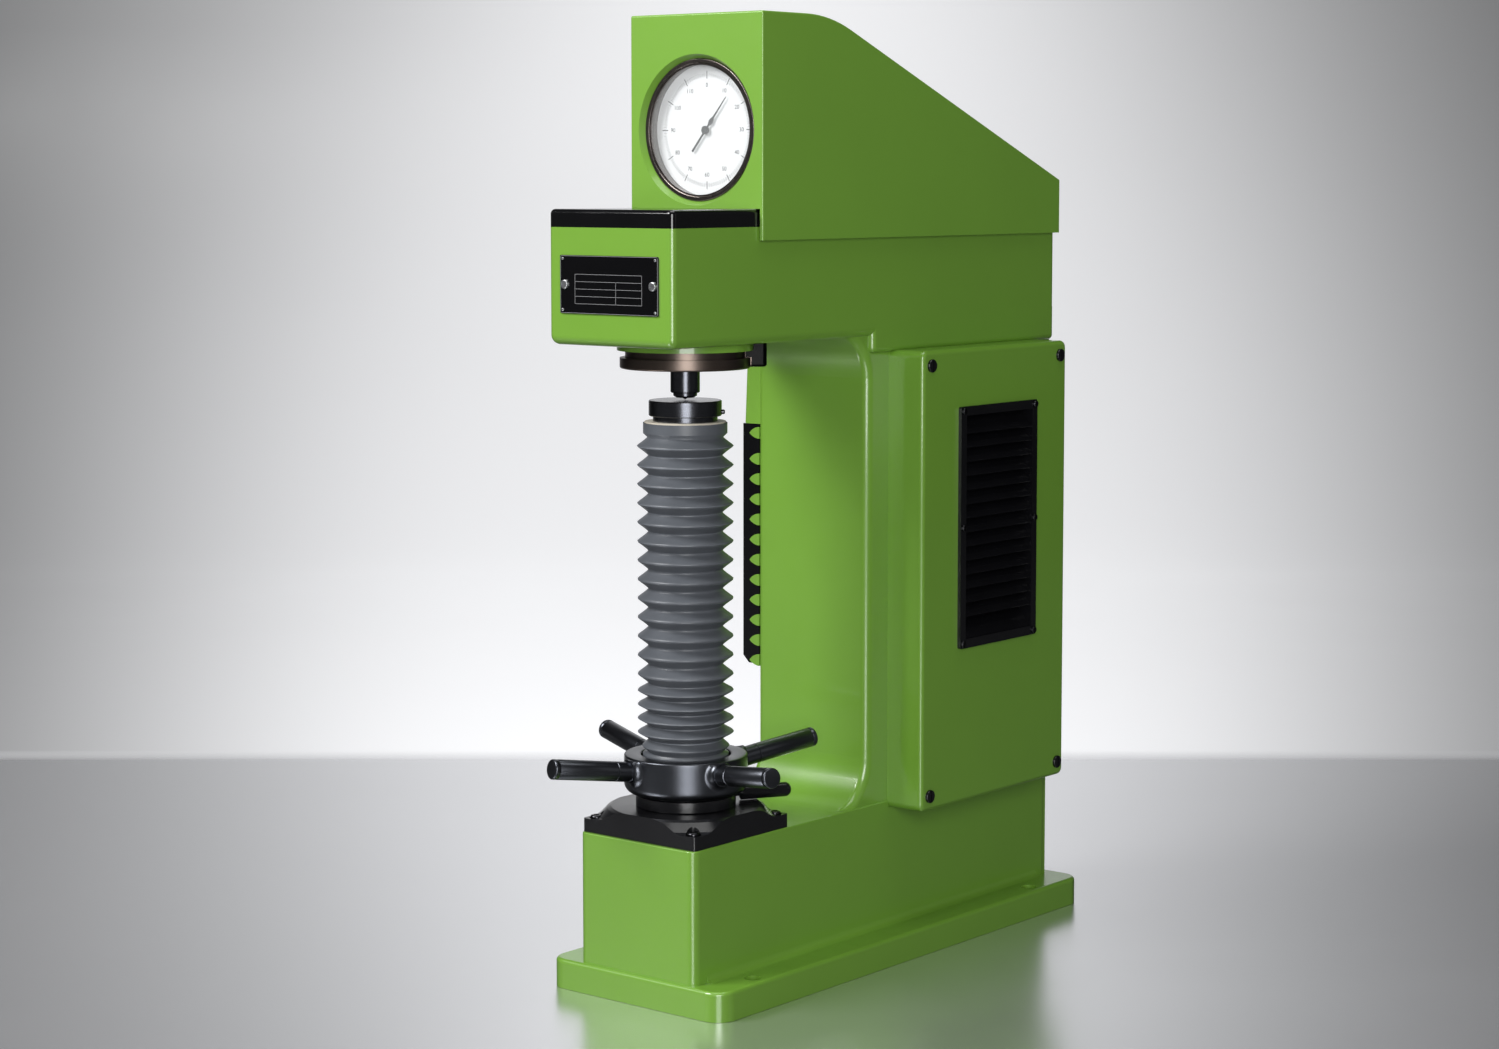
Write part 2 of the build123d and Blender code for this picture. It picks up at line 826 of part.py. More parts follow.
def screw_flange():
    """A square plate with a scooped crown and the neck that the lock ring turns on."""
    plate_top_z = lower_top + flange_thickness
    shape = wide(flange_half, (-flange_half, flange_half), (lower_top, flange_top))
    shape = fillet(along(shape, Axis.Z), flange_corner)
    shape += disc(neck_radius, flange_top - 1, neck_top)
    shape -= disc(screw_radius + seat_gap, sleeve_top, neck_top + 1)
    shape -= disc(sleeve_radius + running, lower_top - 1, sleeve_top)
    shape -= block((-screw_radius - key_depth, 0), (-key_width / 2, key_width / 2),
                   (sleeve_top - 1, key_top))
    shape = cut_all(shape, holes(flange_shank, flange_shank_length * 2, "+Z", flange_screws_at))
    for place in flange_screws_at:
        shape -= disc(flange_head + 1, plate_top_z - flange_head_sunk, flange_top + 1,
                      place[0], place[1])
    far = flange_half * 1.5
    outline = [(0, lower_top), (far, lower_top), (far, plate_top_z)]
    for number in range(flange_scoop_steps + 1):
        share = number / flange_scoop_steps
        outline.append((flange_scoop + (flange_flat - flange_scoop) * share,
                        plate_top_z + flange_rise * (3 * share**2 - 2 * share**3)))
    neck_room = neck_radius + 2
    outline += [(neck_room, flange_top), (neck_room, neck_top + 1), (0, neck_top + 1)]
    return shape & turned(outline)


def flange_screws():
    cap = screw(flange_head, flange_head_height, flange_shank - push_fit,
                flange_shank_length - flange_head_sunk)
    socket = RegularPolygon(flange_head / 2, 6)
    cap -= Pos(0, 0, flange_head_height) * extrude(socket, -flange_head_height * 0.6)
    low = [(x, y, z - flange_head_sunk) for x, y, z in flange_screws_at]
    return placed(cap, "+Z", low)


def screw_key():
    return block((-screw_radius - key_depth, -screw_radius + key_depth - seat_gap),
                 (-key_width / 2, key_width / 2), (sleeve_top, key_top))


def guide_sleeve():
    return disc(sleeve_radius, sleeve_bottom, sleeve_top) - disc(
        screw_radius + running, sleeve_bottom - 1, sleeve_top + 1)


def elevating_screw():
    shape = disc(screw_radius, screw_bottom, screw_top)
    shape = chamfer(first_face(shape, Axis.Z).edges(), 2.0)
    shape -= block((-screw_radius - 1, key_depth - screw_radius),
                   (-key_width / 2 - seat_gap, key_width / 2 + seat_gap),
                   (screw_bottom - 1, cuff_bottom))
    return shape - disc(anvil_stem + running, screw_top - anvil_stem_length - 2, screw_top + 1)


def lock_ring():
    low = flange_top + seat_gap
    high = neck_top - seat_gap
    shape = disc(lock_radius, low, high) - disc(neck_radius + running, low - 1, high + 1)
    shape = fillet(shape.edges().filter_by(GeomType.CIRCLE).sort_by(SortBy.RADIUS)[-2:], 1.0)
    return shape


def lock_lever():
    """A short round bar with a domed end, pushed into a hole in the lock ring."""
    start = neck_radius + 3
    length = lock_reach - start
    neck = Pos(0, 0, lock_pin_length / 2) * Cylinder(lock_pin, lock_pin_length + 2)
    body = length - lock_pin_length
    bar = Pos(0, 0, lock_pin_length + body / 2) * Cylinder(lock_rod, body)
    bar = fillet(last_face(bar, Axis.Z).edges(), lock_rod * 0.9)
    return lock_place(start) * (bar + neck)


def lock_place(start):
    middle = (flange_top + neck_top) / 2 + lock_rise
    return Rot(0, 0, lock_angle) * Pos(start, 0, middle) * Rot(0, 90, 0)


def lock_hole():
    start = neck_radius + 1.5
    return lock_place(start) * Pos(0, 0, 15) * Cylinder(lock_pin + push_fit, 30)


def handwheel_hub():
    low = neck_top + running * 8
    outline = [(race_outer + 1, low), (hub_foot, low), (hub_radius - 4, low + 5),
               (hub_radius - 0.8, low + 12), (hub_radius, low + 20), (hub_radius, hub_top - 6),
               (hub_radius - 4, hub_top), (hub_recess, hub_top),
               (hub_recess, hub_top - hub_recess_depth),
               (screw_radius + 1, hub_top - hub_recess_depth),
               (screw_radius + 1, nut_top), (nut_radius + push_fit, nut_top),
               (nut_radius + push_fit, nut_bottom), (race_outer + 1, nut_bottom)]
    shape = turned(outline)
    for number in range(spokes):
        shape += spoke_turn(number) * spoke_bar(boss_tip, spoke_root, boss_reach)
    shape -= disc(nut_radius + push_fit, nut_bottom, nut_top)
    shape -= disc(race_outer + 1, low - 2, nut_bottom)
    shape -= disc(hub_recess, hub_top - hub_recess_depth, hub_top)
    shape -= disc(bellows_outer + 2, hub_top, hub_top + 20)
    for number in range(spokes):
        shape -= spoke_turn(number) * spoke_bar(spoke_radius + push_fit, spoke_root, boss_reach + 5)
    return shape


def spoke_turn(number):
    return Rot(0, 0, spoke_first + 360 / spokes * number) * Pos(0, 0, spoke_height)


def spoke_bar(radius, start, end):
    """A round bar along a spoke's tilted line, between two reaches from the axis."""
    place = Pos(start, 0, start * tan(radians(spoke_tilt)))
    return place * Rot(0, 90 - spoke_tilt, 0) * Pos(0, 0, (end - start) / 2) * Cylinder(
        radius, end - start)


def handwheel_spokes():
    bars = []
    seam = 1.0
    for number in range(spokes):
        bar = spoke_bar(spoke_radius, spoke_root, spoke_reach - spoke_radius)
        tip = Pos(spoke_reach - spoke_radius, 0,
                  (spoke_reach - spoke_radius) * tan(radians(spoke_tilt)))
        bar += tip * Sphere(spoke_radius)
        for reach in (boss_reach + 8, spoke_reach - spoke_radius * 2):
            groove = spoke_bar(spoke_radius + 1, reach, reach + seam)
            bar -= groove - spoke_bar(spoke_radius - 0.8, reach - 2, reach + seam + 2)
        bars.append(spoke_turn(number) * bar)
    return Compound(children=bars)


def screw_nut():
    return disc(nut_radius, nut_bottom, nut_top) - disc(
        screw_radius + running, nut_bottom - 1, nut_top + 1)


def race(low):
    return disc(race_outer, low, low + race_thickness) - disc(
        race_inner, low - 1, low + race_thickness + 1)


def bearing_balls():
    centre = neck_top + race_thickness + ball_radius + running
    ring = (race_inner + race_outer) / 2
    found = []
    for number in range(balls):
        turn = radians(360 / balls * number)
        found.append(Pos(ring * cos(turn), ring * sin(turn), centre) * Sphere(ball_radius))
    return Compound(children=found)


def upper_race():
    return race(neck_top + race_thickness + 2 * ball_radius + running * 2)


def bellows():
    """A thin folded tube: the folds are deeper spaced at the top than at the bottom."""
    low = hub_top - hub_recess_depth + seat_gap
    foot_top = low + bellows_foot_height
    height = cuff_bottom - foot_top
    shares = [bellows_low_share + (1 - bellows_low_share) * number / (bellows_folds - 1)
              for number in range(bellows_folds)]
    unit = height / sum(shares)
    outer = [(bellows_foot, low), (bellows_foot, foot_top)]
    z = foot_top
    for number, share in enumerate(shares):
        pitch = share * unit
        outer.append((bellows_outer, z + pitch / 2))
        z += pitch
        if number < bellows_folds - 1:
            outer.append((bellows_valley, z))
    outer += [(cuff_radius, cuff_bottom), (cuff_radius, cuff_top)]
    inner = [(radius - bellows_wall, height) for radius, height in outer]
    return turned(outer + inner[::-1])


def bellows_top_ring():
    return disc(cuff_radius - 1, cuff_top, screw_top) - disc(
        screw_radius + running, cuff_top - 1, screw_top + 1)


def anvil_collar():
    return disc(collar_radius, screw_top, anvil_bottom) - disc(
        anvil_stem + running, screw_top - 1, anvil_bottom + 1)


def anvil():
    shape = disc(anvil_radius, anvil_bottom, anvil_top)
    shape = chamfer(shape.edges().filter_by(GeomType.CIRCLE), 0.8)
    shape += disc(anvil_stem, screw_top - anvil_stem_length, anvil_bottom + 1)
    return shape - anvil_set_hole()


def anvil_set_hole():
    middle = anvil_bottom + anvil_screw_rise
    hole = rod_x(set_screw_radius, anvil_radius - set_screw_length, anvil_radius + 1, 0, middle)
    return Rot(0, 0, anvil_screw_angle) * hole


def anvil_set_screw():
    """A small screw with a rounded end that stands out of the anvil's side."""
    middle = anvil_bottom + anvil_screw_rise
    end = anvil_radius + anvil_screw_proud
    shape = rod_x(set_screw_radius - push_fit, anvil_radius - set_screw_length, end, 0, middle)
    rim = shape.edges().filter_by(GeomType.CIRCLE).sort_by(Axis.X)[-1]
    shape = fillet(rim, set_screw_radius / 2)
    slot = block((end - 1, end + 1), (-0.4, 0.4), (middle - 4, middle + 4))
    return Rot(0, 0, anvil_screw_angle) * (shape - slot)


def spindle_bush():
    shape = disc(bush_ring, bush_ring_bottom, bush_ring_bottom + bush_ring_height)
    shape = fillet(first_face(shape, Axis.Z).edges(), 2.0)
    shape += disc(bush_step, bush_ring_bottom + bush_ring_height - 1, boss_bottom)
    shape += disc(bush_tube, boss_bottom - 1, bush_top)
    shape += bush_lug()
    return shape - disc(spindle_radius + running, bush_ring_bottom - 1, bush_top + 1)


def bush_lug():
    """A lug on the ring's rear right side that closes the step up to the head."""
    low = bush_ring_bottom + 1
    lug = block((bush_step - 6, bush_lug_reach), (-bush_lug_half, bush_lug_half),
                (low, head_bottom - seat_gap))
    lug = fillet(along(lug, Axis.Z).sort_by(Axis.X)[-2:], bush_lug_half / 2)
    lug = fillet(first_face(lug, Axis.Z).edges().sort_by(Axis.X)[-1:], 3.0)
    return Rot(0, 0, bush_lug_angle) * (lug - disc(boss_radius + running, boss_bottom,
                                                   head_bottom))


def spindle():
    shape = disc(spindle_radius, bush_ring_bottom, spindle_top)
    shape += disc(spindle_collar, bush_top + running, bush_top + running + arm_thickness)
    return shape - disc(stem_radius, bush_ring_bottom - 1, bush_ring_bottom + 22)


def measuring_arm():
    """A flat arm on the spindle that reaches past the load lever to the dial plunger."""
    low = arm_bottom
    high = low + arm_thickness
    ring = disc(spindle_radius + 7, low, high) - disc(spindle_radius + push_fit, low - 1, high + 1)
    turn = degrees(atan2(arm_y, arm_x))
    reach = hypot(arm_x, arm_y)
    bar = Rot(0, 0, turn) * block((spindle_radius + 3, reach), (-arm_half_width, arm_half_width),
                                  (low, high))
    post = disc(arm_post_radius, low, arm_post_top, arm_x, arm_y)
    pad_disc = disc(arm_half_width, low, high, arm_x, arm_y)
    return ring + bar + post + pad_disc


def indenter_holder():
    step = holder_bottom + holder_foot_height
    shape = chamfer(first_face(disc(holder_radius, step, bush_ring_bottom),
                               Axis.Z).edges(), 1.0)
    shape += disc(holder_foot, holder_bottom, step + 1)
    shape += disc(stem_radius - push_fit, bush_ring_bottom - 1, bush_ring_bottom + 20)
    shape -= disc(indenter_stem + running, holder_bottom - 1,
                  holder_bottom + indenter_stem_length + 1)
    return shape - holder_set_hole()


def holder_set_hole():
    middle = holder_bottom + holder_screw_rise
    return rod_x(set_screw_radius, -holder_radius - 1, 0, 0, middle)


def indenter_set_screw():
    middle = holder_bottom + holder_screw_rise
    return rod_x(set_screw_radius - push_fit, -holder_radius, -indenter_stem - running * 2, 0,
                 middle)


def indenter():
    tip = anvil_top + indenter_gap
    body = turned([(0, tip), (3.0, tip + 1.6), (indenter_radius - 3, tip + 2.0),
                   (indenter_radius, tip + 3.8), (indenter_radius, holder_bottom),
                   (0, holder_bottom)])
    return body + disc(indenter_stem, holder_bottom - 1, holder_bottom + indenter_stem_length)


def load_lever():
    """The bar between fulcrum and weights, with its hardened knife block beneath."""
    shape = wide(lever_half_width, (lever_front, lever_rear), (lever_bottom, lever_top))
    shape = fillet(along(shape, Axis.X), 5.0)
    shape -= rod_x(fulcrum_radius + running, -40, 40, fulcrum_y, lever_axis)
    shape -= disc(hanger_slot, lever_bottom - 1, lever_top + 1, 0, hanger_y)
    return Compound(children=[shape, lever_knife()])


def lever_knife():
    outline = make_face(Polyline((-7, lever_bottom), (7, lever_bottom), (2, knife_tip),
                                 (-2, knife_tip), (-7, lever_bottom)))
    return Pos(0, knife_y, 0) * side_slab(outline, 8)


def fulcrum_pin():
    reach = lever_half_width + 1 + cheek_thickness
    return rod_x(fulcrum_radius, -reach, reach, fulcrum_y, lever_axis)


def fulcrum_bracket():
    """Two cheeks on a foot, screwed to the head floor in front of the spindle."""
    inner = lever_half_width + 1
    outer = inner + cheek_thickness
    lengths = (fulcrum_y - cheek_half_length, fulcrum_y + cheek_half_length)
    foot_top = head_inner_bottom + 10
    shape = wide(outer, lengths, (head_inner_bottom, foot_top))
    for side in (-1, 1):
        shape += block(sorted((side * inner, side * outer)), lengths,
                       (foot_top - 1, lever_axis + fulcrum_radius * 2))
    return shape - rod_x(fulcrum_radius + push_fit, -outer - 1, outer + 1, fulcrum_y, lever_axis)


def hanger():
    """The rod that hangs from the lever's rear end and carries the weights."""
    shape = disc(hanger_rod, hanger_bottom, lever_top + 6, 0, hanger_y)
    shape += disc(hanger_cap, lever_top + seat_gap, lever_top + 6, 0, hanger_y)
    return shape + disc(weight_radius * 0.6, hanger_bottom, hanger_bottom + 6, 0, hanger_y)


def weight_stack():
    found = []
    for number in range(weights):
        low = hanger_bottom + 6 + number * (weight_thickness + weight_gap) + running
        ring = disc(weight_radius, low, low + weight_thickness, 0, hanger_y)
        ring = chamfer(ring.edges().filter_by(GeomType.CIRCLE), 1.5)
        found.append(ring - disc(hanger_rod + push_fit, low - 1, low + weight_thickness + 1, 0,
                                 hanger_y))
    return Compound(children=found)


def loading_cam():
    """A disc cam on its shaft, whose radius falls at a steady rate over the working turn."""
    fall = (cam_high - cam_low) / cam_turn
    step = 6.0
    count = int((cam_turn + 2 * cam_run_in) / step)
    first = radians(90 - cam_run_in)
    last = first + radians(count * step)
    points = []
    for number in range(count + 1):
        turn = min(max(number * step - cam_run_in, 0), cam_turn)
        points.append(polar(cam_high - cam_gap - fall * turn, first + radians(number * step)))
    back = 2 * pi + first - last
    for number in range(1, 12):
        share = number / 12
        rise = (cam_high - cam_low) * (3 * share**2 - 2 * share**3)
        points.append(polar(cam_low - cam_gap + rise, last + back * share))
    outline = make_face(Polyline(*points, points[0]))
    body = Pos(0, cam_y, cam_z) * extrude(Plane.YZ * outline, cam_half_width, both=True)
    hub = rod_x(10, -cam_half_width - 3, cam_half_width + 2, cam_y, cam_z)
    return body + hub + rod_x(cam_shaft, motor_right + running, 0, cam_y, cam_z)


def polar(radius, angle):
    return (radius * cos(angle), radius * sin(angle))


def gear_motor():
    """A small motor with its round gearbox, on the bracket plate."""
    back = motor_right - motor_plate
    shape = rod_x(gearbox_radius, back - gearbox_length, back, cam_y, cam_z)
    end = back - gearbox_length - motor_length
    shape += rod_x(motor_radius, end, back - gearbox_length + 1, cam_y, cam_z)
    return shape


def motor_bracket():
    back = motor_right - motor_plate
    heights = (cam_z - bracket_half_height, cam_z + bracket_half_height)
    shape = block((back, motor_right), (column_inner_front, cam_y + bracket_rear), heights)
    shape += block((back, motor_right + bracket_foot),
                   (column_inner_front, column_inner_front + motor_plate), heights)
    return shape - rod_x(cam_shaft + 1, back - 1, motor_right + 1, cam_y, cam_z)


def push_rod():
    """Forked foot and rod that carry the lever, with the roller on its pin in the fork."""
    axis = cam_z + cam_high + roller_radius
    shape = disc(push_rod_radius, axis + roller_radius + 4, lever_bottom - seat_gap, 0, cam_y)
    fork = wide(9, (cam_y - 5, cam_y + 5), (axis - 4, axis + roller_radius + 5))
    fork -= wide(5, (cam_y - 6, cam_y + 6), (axis - 12, axis + roller_radius + 2))
    shape += fork
    return Compound(children=[shape - rod_x(2.0, -10, 10, cam_y, axis), push_roller(axis)])


def push_roller(axis):
    shape = rod_x(roller_radius, -4.6, 4.6, cam_y, axis)
    return shape + rod_x(2.0 - running, -9, 9, cam_y, axis)


def push_rod_guide():
    """A block on the column's front wall with the bore that guides the push rod."""
    shape = wide(guide_half_width, (column_inner_front, cam_y + guide_rear),
                 (guide_z, guide_z + guide_height))
    return shape - disc(push_rod_radius + running, guide_z - 1, guide_z + guide_height + 1, 0, cam_y)


def damper_cylinder():
    """A closed oil cylinder with a lug to the column's rear wall."""
    high = damper_bottom + damper_height
    lug = damper_bottom + damper_height / 2
    shape = disc(damper_outer, damper_bottom, high, 0, damper_y)
    shape += wide(damper_outer, (damper_y, column_inner_rear), (lug, lug + damper_lug))
    shape -= disc(damper_bore, damper_bottom + 4, high - 4, 0, damper_y)
    return shape - disc(damper_rod_radius + running, high - 5, high + 1, 0, damper_y)


def damper_rod():
    low = damper_bottom + piston_rise
    shape = disc(damper_bore - running, low, low + piston_height, 0, damper_y)
    shape += disc(damper_rod_radius, low, lever_bottom - seat_gap - 4, 0, damper_y)
    return shape + disc(6, lever_bottom - seat_gap - 5, lever_bottom - seat_gap, 0, damper_y)


def dial_bridge():
    """A plate across the open head that carries the dial case on an upright."""
    front = case_front + case_depth - bridge_saddle
    shape = wide(head_half_width - bridge_inset, (front, front + bridge_depth),
                 (head_top, bridge_top))
    shape += wide(bridge_post_half, (front, front + bridge_post),
                  (head_top, dial_height - case_radius + bridge_saddle))
    shape -= rod_y(case_radius + running, case_front - 1, case_front + case_depth + 1, 0,
                   dial_height)
    return shape - disc(plunger_radius + 4, head_top - 1, bridge_top + 1, arm_x, arm_y)


def dial_case():
    """The cup behind the dial, with a bush below for the plunger."""
    shape = rod_y(case_radius, case_front, case_front + case_depth, 0, dial_height)
    shape -= rod_y(case_radius - case_wall, case_front - 1, case_front + case_depth - case_wall, 0,
                   dial_height)
    low = dial_height - sqrt(case_radius**2 - (arm_x + 8)**2)
    shape += disc(plunger_radius + 4, low - 2, low + 26, arm_x, arm_y)
    shape -= disc(plunger_radius + running, low - 30, low + 30, arm_x, arm_y)
    shape += rod_y(5, case_front + case_depth - 14, case_front + case_depth - 1, 0, dial_height)
    return shape - rod_y(arbor_radius + running, case_front, case_front + case_depth - 4, 0,
                         dial_height)


def dial_plunger():
    return disc(plunger_radius, arm_post_top + seat_gap, plunger_top, arm_x, arm_y)


def dial_bezel():
    """The turning rim: a ring in the hood's opening, with a thin front lip over the glass."""
    outer = dial_opening - seat_gap
    inner = outer - bezel_wall
    back = face_y + face_thickness + 1.5
    front = hood_front + bezel_setback
    shape = rod_y(outer, front, back, 0, dial_height)
    shape -= rod_y(inner, front - 1, back + 1, 0, dial_height)
    rim = [edge for edge in shape.edges().filter_by(GeomType.CIRCLE)
           if edge.center().Y < front + 0.1]
    shape = fillet(rim, 1.0)
    lip = rod_y(inner + 1, front + 1, glass_front, 0, dial_height)
    lip -= rod_y(inner - bezel_lip, front, glass_front + 1, 0, dial_height)
    return shape + lip


def dial_glass():
    inner = dial_opening - seat_gap - bezel_wall
    return rod_y(inner - push_fit, glass_front, glass_front + glass_thickness, 0, dial_height)


def dial_face():
    inner = dial_opening - seat_gap - bezel_wall
    shape = rod_y(inner - push_fit, face_y, face_y + face_thickness, 0, dial_height)
    return shape - rod_y(arbor_radius + 1, face_y - 1, face_y + 3, 0, dial_height)


def pointer():
    """A long tapered hand with a short broad tail and a small lozenge, on its arbor."""
    outline = make_face(Polyline(
        (-1.1, -pointer_tail), (1.1, -pointer_tail), (0.9, 6), (2.6, 11), (0.9, 17),
        (0.25, pointer_length), (-0.25, pointer_length), (-0.9, 17), (-2.6, 11), (-0.9, 6),
        (-1.1, -pointer_tail)))
    back = face_y - 2.0
    hand = Pos(0, back - pointer_thickness, 0) * extrude(Plane.XZ * outline, -pointer_thickness)
    hand += rod_y(pointer_hub, back - pointer_thickness - 1.2, back, 0, 0)
    hand += rod_y(arbor_radius, back - 1, case_front + case_depth - 4.5, 0, 0)
    hand += rod_y(7, face_y + 9, face_y + 12, 0, 0)
    return Pos(0, 0, dial_height) * Rot(0, pointer_angle, 0) * hand


def circuit_board():
    back = box_x + box_wall + board_gap
    low = box_bottom + board_low
    high = box_top - board_high
    front = box_front + board_inset
    rear = box_rear - board_inset
    shape = block((back, back + board_thickness), (front, rear), (low, high))
    for place in corners((back,), (front + board_post_inset, rear - board_post_inset),
                         (low + board_post_inset, high - board_post_inset)):
        shape += rod_x(board_post, box_x + box_wall, back + board_thickness / 2, place[1],
                       place[2])
    depth, length, height = chip_size
    for number in range(chips):
        foot = low + height + number * chip_pitch
        shape += block((back + board_thickness / 2, back + depth),
                       (front + chip_inset, front + chip_inset + length), (foot, foot + height))
    return shape


def transformer():
    """A laminated core with its coil, on the column floor."""
    width, length, height = transformer_size
    middle = column_inner_front + 10 + length / 2
    core = wide(width / 2, (middle - length / 2, middle + length / 2),
                (casting_floor, casting_floor + height))
    coil = wide(width / 2 + 8, (middle - 14, middle + 14),
                (casting_floor + 10, casting_floor + height - 10))
    return fillet(along(coil, Axis.Z), 5.0) + core


def power_entry():
    """Mains inlet and switch housing in one block, in the rear wall of the box."""
    out = box_rear + entry_proud
    shape = entry_block(entry_half[0], entry_half[1], (box_rear - entry_depth, out))
    shape += entry_block(entry_half[0] + entry_flange, entry_half[1] + entry_flange,
                         (box_rear, out))
    inlet_z = entry_z - inlet_drop
    shape -= block((entry_x - inlet_half[0], entry_x + inlet_half[0]), (out - 16, out + 1),
                   (inlet_z - inlet_half[1], inlet_z + inlet_half[1]))
    for rise in (-6, 0, 6):
        shape += block((entry_x - 1, entry_x + 1), (out - 17, out - 3),
                       (inlet_z + rise - 1, inlet_z + rise + 1))
    side = rocker_half[0] + seat_gap
    tall = rocker_half[2] + rocker_room
    shape -= block((entry_x - side, entry_x + side), (out - 16, out + 1),
                   (rocker_z - tall, rocker_z + tall))
    reach = rocker_half[0] + 3 + push_fit
    return shape - rod_x(rocker_pin + running, entry_x - reach, entry_x + reach, rocker_y, rocker_z)


def power_rocker():
    shape = block((entry_x - rocker_half[0], entry_x + rocker_half[0]),
                  (rocker_y - rocker_half[1], rocker_y + rocker_half[1]),
                  (rocker_z - rocker_half[2], rocker_z + rocker_half[2]))
    shape = chamfer(along(shape, Axis.X), 2.4)
    reach = rocker_half[0] + 3
    return shape + rod_x(rocker_pin, entry_x - reach, entry_x + reach, rocker_y, rocker_z)


nodes = {
    "frame_casting": frame_casting,
    "hood": hood,
    "head_top_cover": head_top_cover,
    "nameplate": nameplate,
    "nameplate_screws": nameplate_screws,
    "side_box_body": side_box_body,
    "side_box_cover": side_box_cover,
    "box_cover_screws": box_cover_screws,
    "vent_grille": vent_grille,
    "grille_screws": grille_screws,
    "left_vent_cover": left_vent_cover,
    "small_cover_screws": small_cover_screws,
    "rear_cover": rear_cover,
    "screw_flange": screw_flange,
    "flange_screws": flange_screws,
    "screw_key": screw_key,
    "guide_sleeve": guide_sleeve,
    "lower_race": lambda: race(neck_top),
    "bearing_balls": bearing_balls,
    "lock_ring": lambda: lock_ring() - lock_hole(),
    "lock_lever": lock_lever,
    "handwheel_hub": handwheel_hub,
    "handwheel_spokes": handwheel_spokes,
    "screw_nut": screw_nut,
    "upper_race": upper_race,
    "elevating_screw": elevating_screw,
    "bellows": bellows,
    "bellows_top_ring": bellows_top_ring,
    "anvil_collar": anvil_collar,
    "anvil": anvil,
    "anvil_set_screw": anvil_set_screw,
    "spindle_bush": spindle_bush,
    "spindle": spindle,
    "measuring_arm": measuring_arm,
    "indenter_holder": indenter_holder,
    "indenter_set_screw": indenter_set_screw,
    "indenter": indenter,
    "load_lever": load_lever,
    "fulcrum_pin": fulcrum_pin,
    "fulcrum_bracket": fulcrum_bracket,
    "weight_hanger": hanger,
    "weight_stack": weight_stack,
    "loading_cam": loading_cam,
    "gear_motor": gear_motor,
    "motor_bracket": motor_bracket,
    "push_rod": push_rod,
    "push_rod_guide": push_rod_guide,
    "damper_cylinder": damper_cylinder,
    "damper_rod": damper_rod,
    "dial_bridge": dial_bridge,
    "dial_case": dial_case,
    "dial_plunger": dial_plunger,
    "dial_bezel": dial_bezel,
    "dial_glass": dial_glass,
    "dial_face": dial_face,
    "pointer": pointer,
    "circuit_board": circuit_board,
    "transformer": transformer,
    "power_entry": power_entry,
    "power_rocker": power_rocker,
}

os.makedirs("parts", exist_ok=True)
for name, make in nodes.items():
    export_step(make(), f"parts/{name}.step")
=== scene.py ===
"""Finishes, fine forms, camera and lights of a hardness testing machine."""
import math

import bpy
import numpy as np
from mathutils import Matrix, Vector


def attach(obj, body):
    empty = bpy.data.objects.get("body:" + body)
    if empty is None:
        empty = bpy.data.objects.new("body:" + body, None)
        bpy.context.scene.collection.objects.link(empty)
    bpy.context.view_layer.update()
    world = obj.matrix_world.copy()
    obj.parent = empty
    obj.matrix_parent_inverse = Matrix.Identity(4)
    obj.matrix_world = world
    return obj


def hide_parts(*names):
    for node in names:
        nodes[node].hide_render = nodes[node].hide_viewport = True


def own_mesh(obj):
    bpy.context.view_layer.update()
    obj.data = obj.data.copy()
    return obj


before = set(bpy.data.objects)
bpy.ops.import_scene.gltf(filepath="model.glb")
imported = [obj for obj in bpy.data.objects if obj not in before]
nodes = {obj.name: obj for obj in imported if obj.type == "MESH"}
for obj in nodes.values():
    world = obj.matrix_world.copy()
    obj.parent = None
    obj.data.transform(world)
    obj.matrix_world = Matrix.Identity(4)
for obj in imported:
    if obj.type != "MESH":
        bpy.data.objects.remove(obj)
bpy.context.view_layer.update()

# Places that the pieces share, in metres
dial_z = 0.8827
dial_print_y = 0.035 - 0.00004
print_thickness = 0.0001
spoke_height = 0.2240
beyond_everything = 9.0

# The handwheel's spokes, with the first one's angle in degrees
spokes = 4
spoke_first = 72.8
spoke_tilt = math.radians(8.0)


class Wire:
    """A node's output that takes part in sums."""

    def __init__(self, graph, socket):
        self.graph = graph
        self.socket = socket

    def sum(self, operation, *values):
        return self.graph.node("ShaderNodeMath", {"operation": operation}, dict(enumerate(values)))

    def __add__(self, other):
        return self.sum("ADD", self, other)

    def __radd__(self, other):
        return self.sum("ADD", other, self)

    def __sub__(self, other):
        return self.sum("SUBTRACT", self, other)

    def __rsub__(self, other):
        return self.sum("SUBTRACT", other, self)

    def __mul__(self, other):
        return self.sum("MULTIPLY", self, other)

    def __rmul__(self, other):
        return self.sum("MULTIPLY", other, self)

    def __truediv__(self, other):
        return self.sum("DIVIDE", self, other)

    def __rtruediv__(self, other):
        return self.sum("DIVIDE", other, self)

    def __pow__(self, other):
        return self.sum("POWER", self, other)

    def __mod__(self, other):
        return self.sum("FLOORED_MODULO", self, other)

    def __lt__(self, other):
        return self.sum("LESS_THAN", self, other)

    def __gt__(self, other):
        return self.sum("GREATER_THAN", self, other)

    def __abs__(self):
        return self.sum("ABSOLUTE", self)


